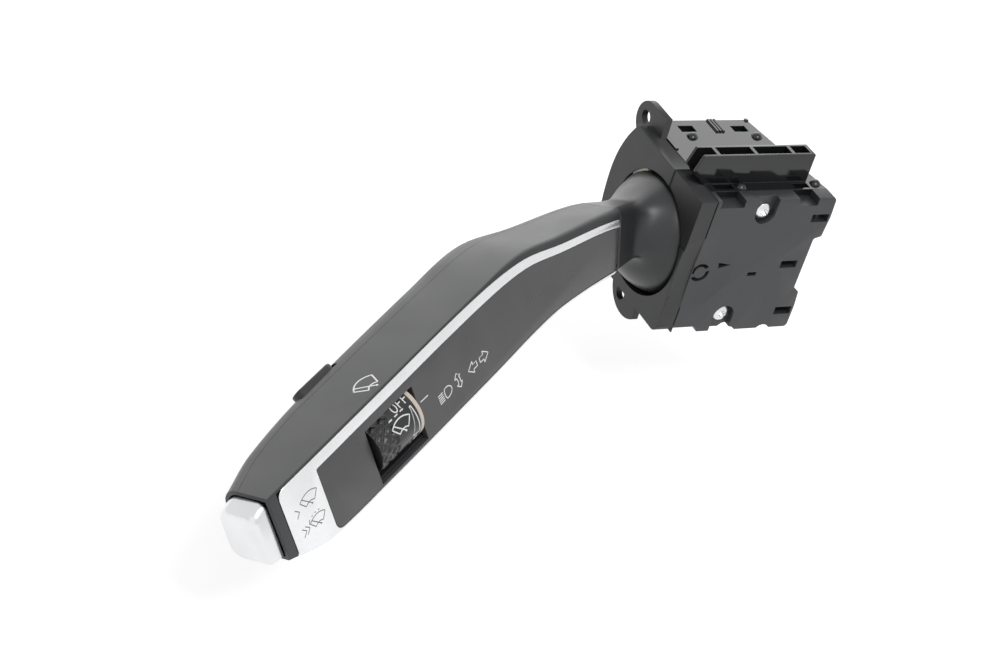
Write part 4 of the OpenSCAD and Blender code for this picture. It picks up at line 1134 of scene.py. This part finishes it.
class STALK_OT_drum(bpy.types.Operator):
    """Makes the knurled wiper drum with its prints"""

    bl_idname = "stalk.drum"
    bl_label = "Wiper drum"

    def execute(self, context):
        finish = context.scene.stalk_finish
        prints = context.scene.stalk_prints
        black = moulded("drum plastic", (0.012, 0.0125, 0.0135), 0.3, 0.000004)
        paint = moulded("white paint", finish.print_colour, 0.45, 0.000002, 0.03, edge=False)
        dress("drum_ring", moulded("cream plastic", (0.66, 0.58, 0.5), 0.34, 0.000004, 0.04))
        centre = lever_point(0, DRUM_FRONT, DRUM_UP)
        start, knurl_start, end, radius = DRUM_START, KNURL_START, DRUM_END, DRUM_R
        bore, rim = 1.56, 0.3
        profile = [(start, bore), (start, radius - 0.25), (start + 0.25, radius)]
        profile += [(place, radius) for place in stretch(knurl_start, end - rim, KNURL_ROWS)]
        profile += [(end, radius - rim), (end, bore)]
        tube = bmesh.new()
        ring = [
            tube.verts.new(centre + ALONG * (a * MM) + OUTWARD * (r * MM)) for a, r in profile
        ]
        edges = [tube.edges.new(pair) for pair in zip(ring, ring[1:] + ring[:1])]
        bmesh.ops.spin(
            tube, geom=ring + edges, cent=centre, axis=ALONG, angle=math.radians(360),
            steps=prints.knurl_count * 10, use_merge=True, use_duplicate=False)
        bmesh.ops.remove_doubles(tube, verts=tube.verts, dist=1e-7)
        depth = prints.knurl_depth
        for vertex in tube.verts:
            arm = vertex.co - centre
            along = arm.dot(ALONG) / MM
            flat = arm - ALONG * arm.dot(ALONG)
            if along < knurl_start + 0.2 or along > end - 0.1 or flat.length < 5 * MM:
                continue
            turns = math.atan2(flat.dot(UPWARD), flat.dot(OUTWARD)) / math.tau
            round_part = turns * prints.knurl_count
            long_part = (along - knurl_start) / KNURL_PITCH
            lift = min(
                1 - 2 * abs((value % 1.0) - 0.5)
                for value in (round_part + long_part, round_part - long_part))
            vertex.co -= flat.normalized() * depth * (1 - min(1.0, 1.7 * lift))
        bmesh.ops.recalc_face_normals(tube, faces=tube.faces)
        for face in tube.faces:
            face.smooth = True
        mesh = bpy.data.meshes.new("drum_skin")
        tube.to_mesh(mesh)
        tube.free()
        mesh.set_sharp_from_angle(angle=math.radians(20))
        mesh.materials.append(black)
        add_piece("drum_skin", mesh, "drum", "drum_plastic", "drum_body")

        face = on_drum(0, 0, radius)
        cream = ("drum", "cream_plastic", paint)
        print_symbol("print_off", shifted(letters_off(), -143.4, 8.0, 1.0), face, *cream)
        rest = wiper_symbol() + [[(x - 0.8, 3.9), (x + 0.8, 3.9)] for x in (-2.9, 0, 2.9)]
        print_symbol("print_wiper", shifted(rest, -147.4, 2.2, 0.96), face, *cream)
        wedge = [(-141.6, 5.0), (-143.7, -5.0), (-140.5, -5.3), (-141.1, 5.0)]
        print_symbol("print_wedge", [closed(wedge)], face, *cream)
        marks = [[(-144.6, -6.6), (-144.6, -8.6)], arc_points(-142.2, -7.2, 0.8, 0.7, 0, 360, 12)]
        print_symbol("print_speeds", marks, face, *cream)
        return {"FINISHED"}


class STALK_OT_symbols(bpy.types.Operator):
    """Prints the symbols on the lever"""

    bl_idname = "stalk.symbols"
    bl_label = "Symbols"

    def execute(self, context):
        finish = context.scene.stalk_finish
        paint = moulded("symbol paint", finish.print_colour, 0.5, 0.000002, 0.03, edge=False)
        grey = moulded("grey paint", (0.12, 0.12, 0.125), 0.5, 0.000002, 0.05, edge=False)
        front = (lever_point(0, 11, 0), -ALONG, UPWARD, OUTWARD)
        panel = on_surface("front_panel_skin", *front)
        plate = on_surface("chrome_trim_skin", *front)
        top = on_surface("front_shell_skin", lever_point(0, 0, 42), -ALONG, -OUTWARD, UPWARD)
        white = ("lever", "cream_plastic", paint)
        dark = ("lever", "drum_plastic", grey)
        put = print_symbol
        put("print_pointer", [[(-135.0, 27.6), (-131.2, 27.5)]], panel, *white)
        put("print_beam", shifted(beam_symbol(), -123.6, 22.7, 0.97, 4), panel, *white, FINE_LINE)
        put("print_flash", shifted(flash_arrow(), -117.0, 22.9, 0.8, 8), panel, *white, FINE_LINE)
        put("print_turns",
            shifted(block_arrow(True), -107.3, 22.5, 1.08)
            + shifted(block_arrow(False), -105.7, 22.5, 1.08),
            panel, *white, FINE_LINE)
        put("print_top_wiper",
            shifted(taller(wiper_symbol(), 1.45), -148.0, -5.2), top, *white, BOLD_LINE)
        put("print_wash_one",
            shifted(wiper_symbol(), -188.2, 31.8, 0.88) + shifted(chevrons(1), -193.2, 30.7),
            plate, *dark, THIN_LINE)
        put("print_wash_two",
            shifted(washer_symbol(), -187.6, 23.6, 0.78) + shifted(chevrons(2), -191.6, 23.7),
            plate, *dark, THIN_LINE)
        return {"FINISHED"}


class STALK_OT_stage(bpy.types.Operator):
    """Sets the floor, the lamps and the camera"""

    bl_idname = "stalk.stage"
    bl_label = "Stage"

    def background_rays(self, tree):
        """1 where the eye, a mirror or glass sees the surface, 0 for light that falls on things."""
        light_path = tree.nodes.new("ShaderNodeLightPath")
        value = light_path.outputs["Is Camera Ray"]
        for name in ("Is Glossy Ray", "Is Transmission Ray"):
            add = tree.nodes.new("ShaderNodeMath")
            add.operation = "MAXIMUM"
            tree.links.new(value, add.inputs[0])
            tree.links.new(light_path.outputs[name], add.inputs[1])
            value = add.outputs["Value"]
        return value

    def execute(self, context):
        scene = context.scene
        stage = scene.stalk_stage
        scene.view_settings.view_transform = "Standard"
        low = CAD_BOX[0][2]
        floor = bmesh.new()
        bmesh.ops.create_grid(floor, x_segments=2, y_segments=2, size=FLOOR_HALF)
        bmesh.ops.translate(floor, verts=floor.verts, vec=(0, 0, low - FLOOR_DROP))
        mesh = bpy.data.meshes.new("floor")
        floor.to_mesh(mesh)
        floor.free()
        material, tree, shader = new_material("white floor")
        shader.inputs["Base Color"].default_value = (*(FLOOR_SHADE * c for c in WHITE), 1)
        shader.inputs["Roughness"].default_value = 0.7
        seen = self.background_rays(tree)
        glow = tree.nodes.new("ShaderNodeEmission")
        glow.inputs["Strength"].default_value = FLOOR_GLOW
        both = tree.nodes.new("ShaderNodeAddShader")
        choose = tree.nodes.new("ShaderNodeMixShader")
        tree.links.new(shader.outputs["BSDF"], both.inputs[0])
        tree.links.new(glow.outputs["Emission"], both.inputs[1])
        tree.links.new(seen, choose.inputs["Fac"])
        tree.links.new(shader.outputs["BSDF"], choose.inputs[1])
        tree.links.new(both.outputs["Shader"], choose.inputs[2])
        tree.links.new(choose.outputs["Shader"], tree.nodes["Material Output"].inputs["Surface"])
        mesh.materials.append(material)
        ground = bpy.data.objects.new("floor", mesh)
        scene.collection.objects.link(ground)

        world = bpy.data.worlds.new("white surround")
        world.use_nodes = True
        tree = world.node_tree
        sky = tree.nodes["Background"]
        sky.inputs["Color"].default_value = (*WHITE, 1)
        sky.inputs["Strength"].default_value = stage.sky
        white = tree.nodes.new("ShaderNodeBackground")
        white.inputs["Color"].default_value = (*WHITE, 1)
        white.inputs["Strength"].default_value = 1.0
        choose = tree.nodes.new("ShaderNodeMixShader")
        tree.links.new(self.background_rays(tree), choose.inputs["Fac"])
        tree.links.new(sky.outputs["Background"], choose.inputs[1])
        tree.links.new(white.outputs["Background"], choose.inputs[2])
        tree.links.new(choose.outputs["Shader"], tree.nodes["World Output"].inputs["Surface"])
        scene.world = world

        middle = Vector((-0.07, -0.05, 0.0))
        for name, place, size in LAMPS:
            lamp = bpy.data.lights.new(name, "AREA")
            lamp.size = size
            lamp.energy = getattr(stage, name)
            holder = bpy.data.objects.new(name, lamp)
            holder.location = place
            holder.rotation_euler = (Vector(place) - middle).to_track_quat("Z", "Y").to_euler()
            scene.collection.objects.link(holder)

        camera = bpy.data.cameras.new("camera")
        camera.lens = stage.lens
        camera.sensor_width = 36
        camera.clip_start = 0.01
        holder = bpy.data.objects.new("camera", camera)
        right = Vector(CAMERA_RIGHT).normalized()
        back = Vector(CAMERA_BACK).normalized()
        up = back.cross(right).normalized()
        right = up.cross(back).normalized()
        turn = Matrix((right, up, back)).transposed().to_4x4()
        holder.matrix_world = Matrix.Translation(CAMERA_AT) @ turn
        scene.collection.objects.link(holder)
        scene.camera = holder
        return {"FINISHED"}


class STALK_PT_panel(bpy.types.Panel):
    """Lists the switch's pieces"""

    bl_label = "Stalk switch"
    bl_idname = "STALK_PT_panel"
    bl_space_type = "VIEW_3D"
    bl_region_type = "UI"
    bl_category = "Stalk switch"

    def draw(self, context):
        for group in ("stalk_finish", "stalk_prints", "stalk_stage"):
            settings = getattr(context.scene, group)
            for name in settings.__annotations__:
                self.layout.prop(settings, name)
        for operator in OPERATORS:
            self.layout.operator(operator.bl_idname)


GROUPS = (StalkFinish, StalkPrints, StalkStage)
OPERATORS = (
    STALK_OT_housing, STALK_OT_mechanism, STALK_OT_lever, STALK_OT_trim, STALK_OT_drum,
    STALK_OT_symbols, STALK_OT_stage,
)
CLASSES = GROUPS + OPERATORS + (STALK_PT_panel,)


def register():
    for item in CLASSES:
        bpy.utils.register_class(item)
    bpy.types.Scene.stalk_finish = PointerProperty(type=StalkFinish)
    bpy.types.Scene.stalk_prints = PointerProperty(type=StalkPrints)
    bpy.types.Scene.stalk_stage = PointerProperty(type=StalkStage)


def unregister():
    del bpy.types.Scene.stalk_stage
    del bpy.types.Scene.stalk_prints
    del bpy.types.Scene.stalk_finish
    for item in reversed(CLASSES):
        bpy.utils.unregister_class(item)


def main():
    register()
    bpy.ops.stalk.housing()
    bpy.ops.stalk.mechanism()
    bpy.ops.stalk.lever()
    bpy.ops.stalk.trim()
    bpy.ops.stalk.drum()
    bpy.ops.stalk.symbols()
    bpy.ops.stalk.stage()


if __name__ == "__main__":
    main()
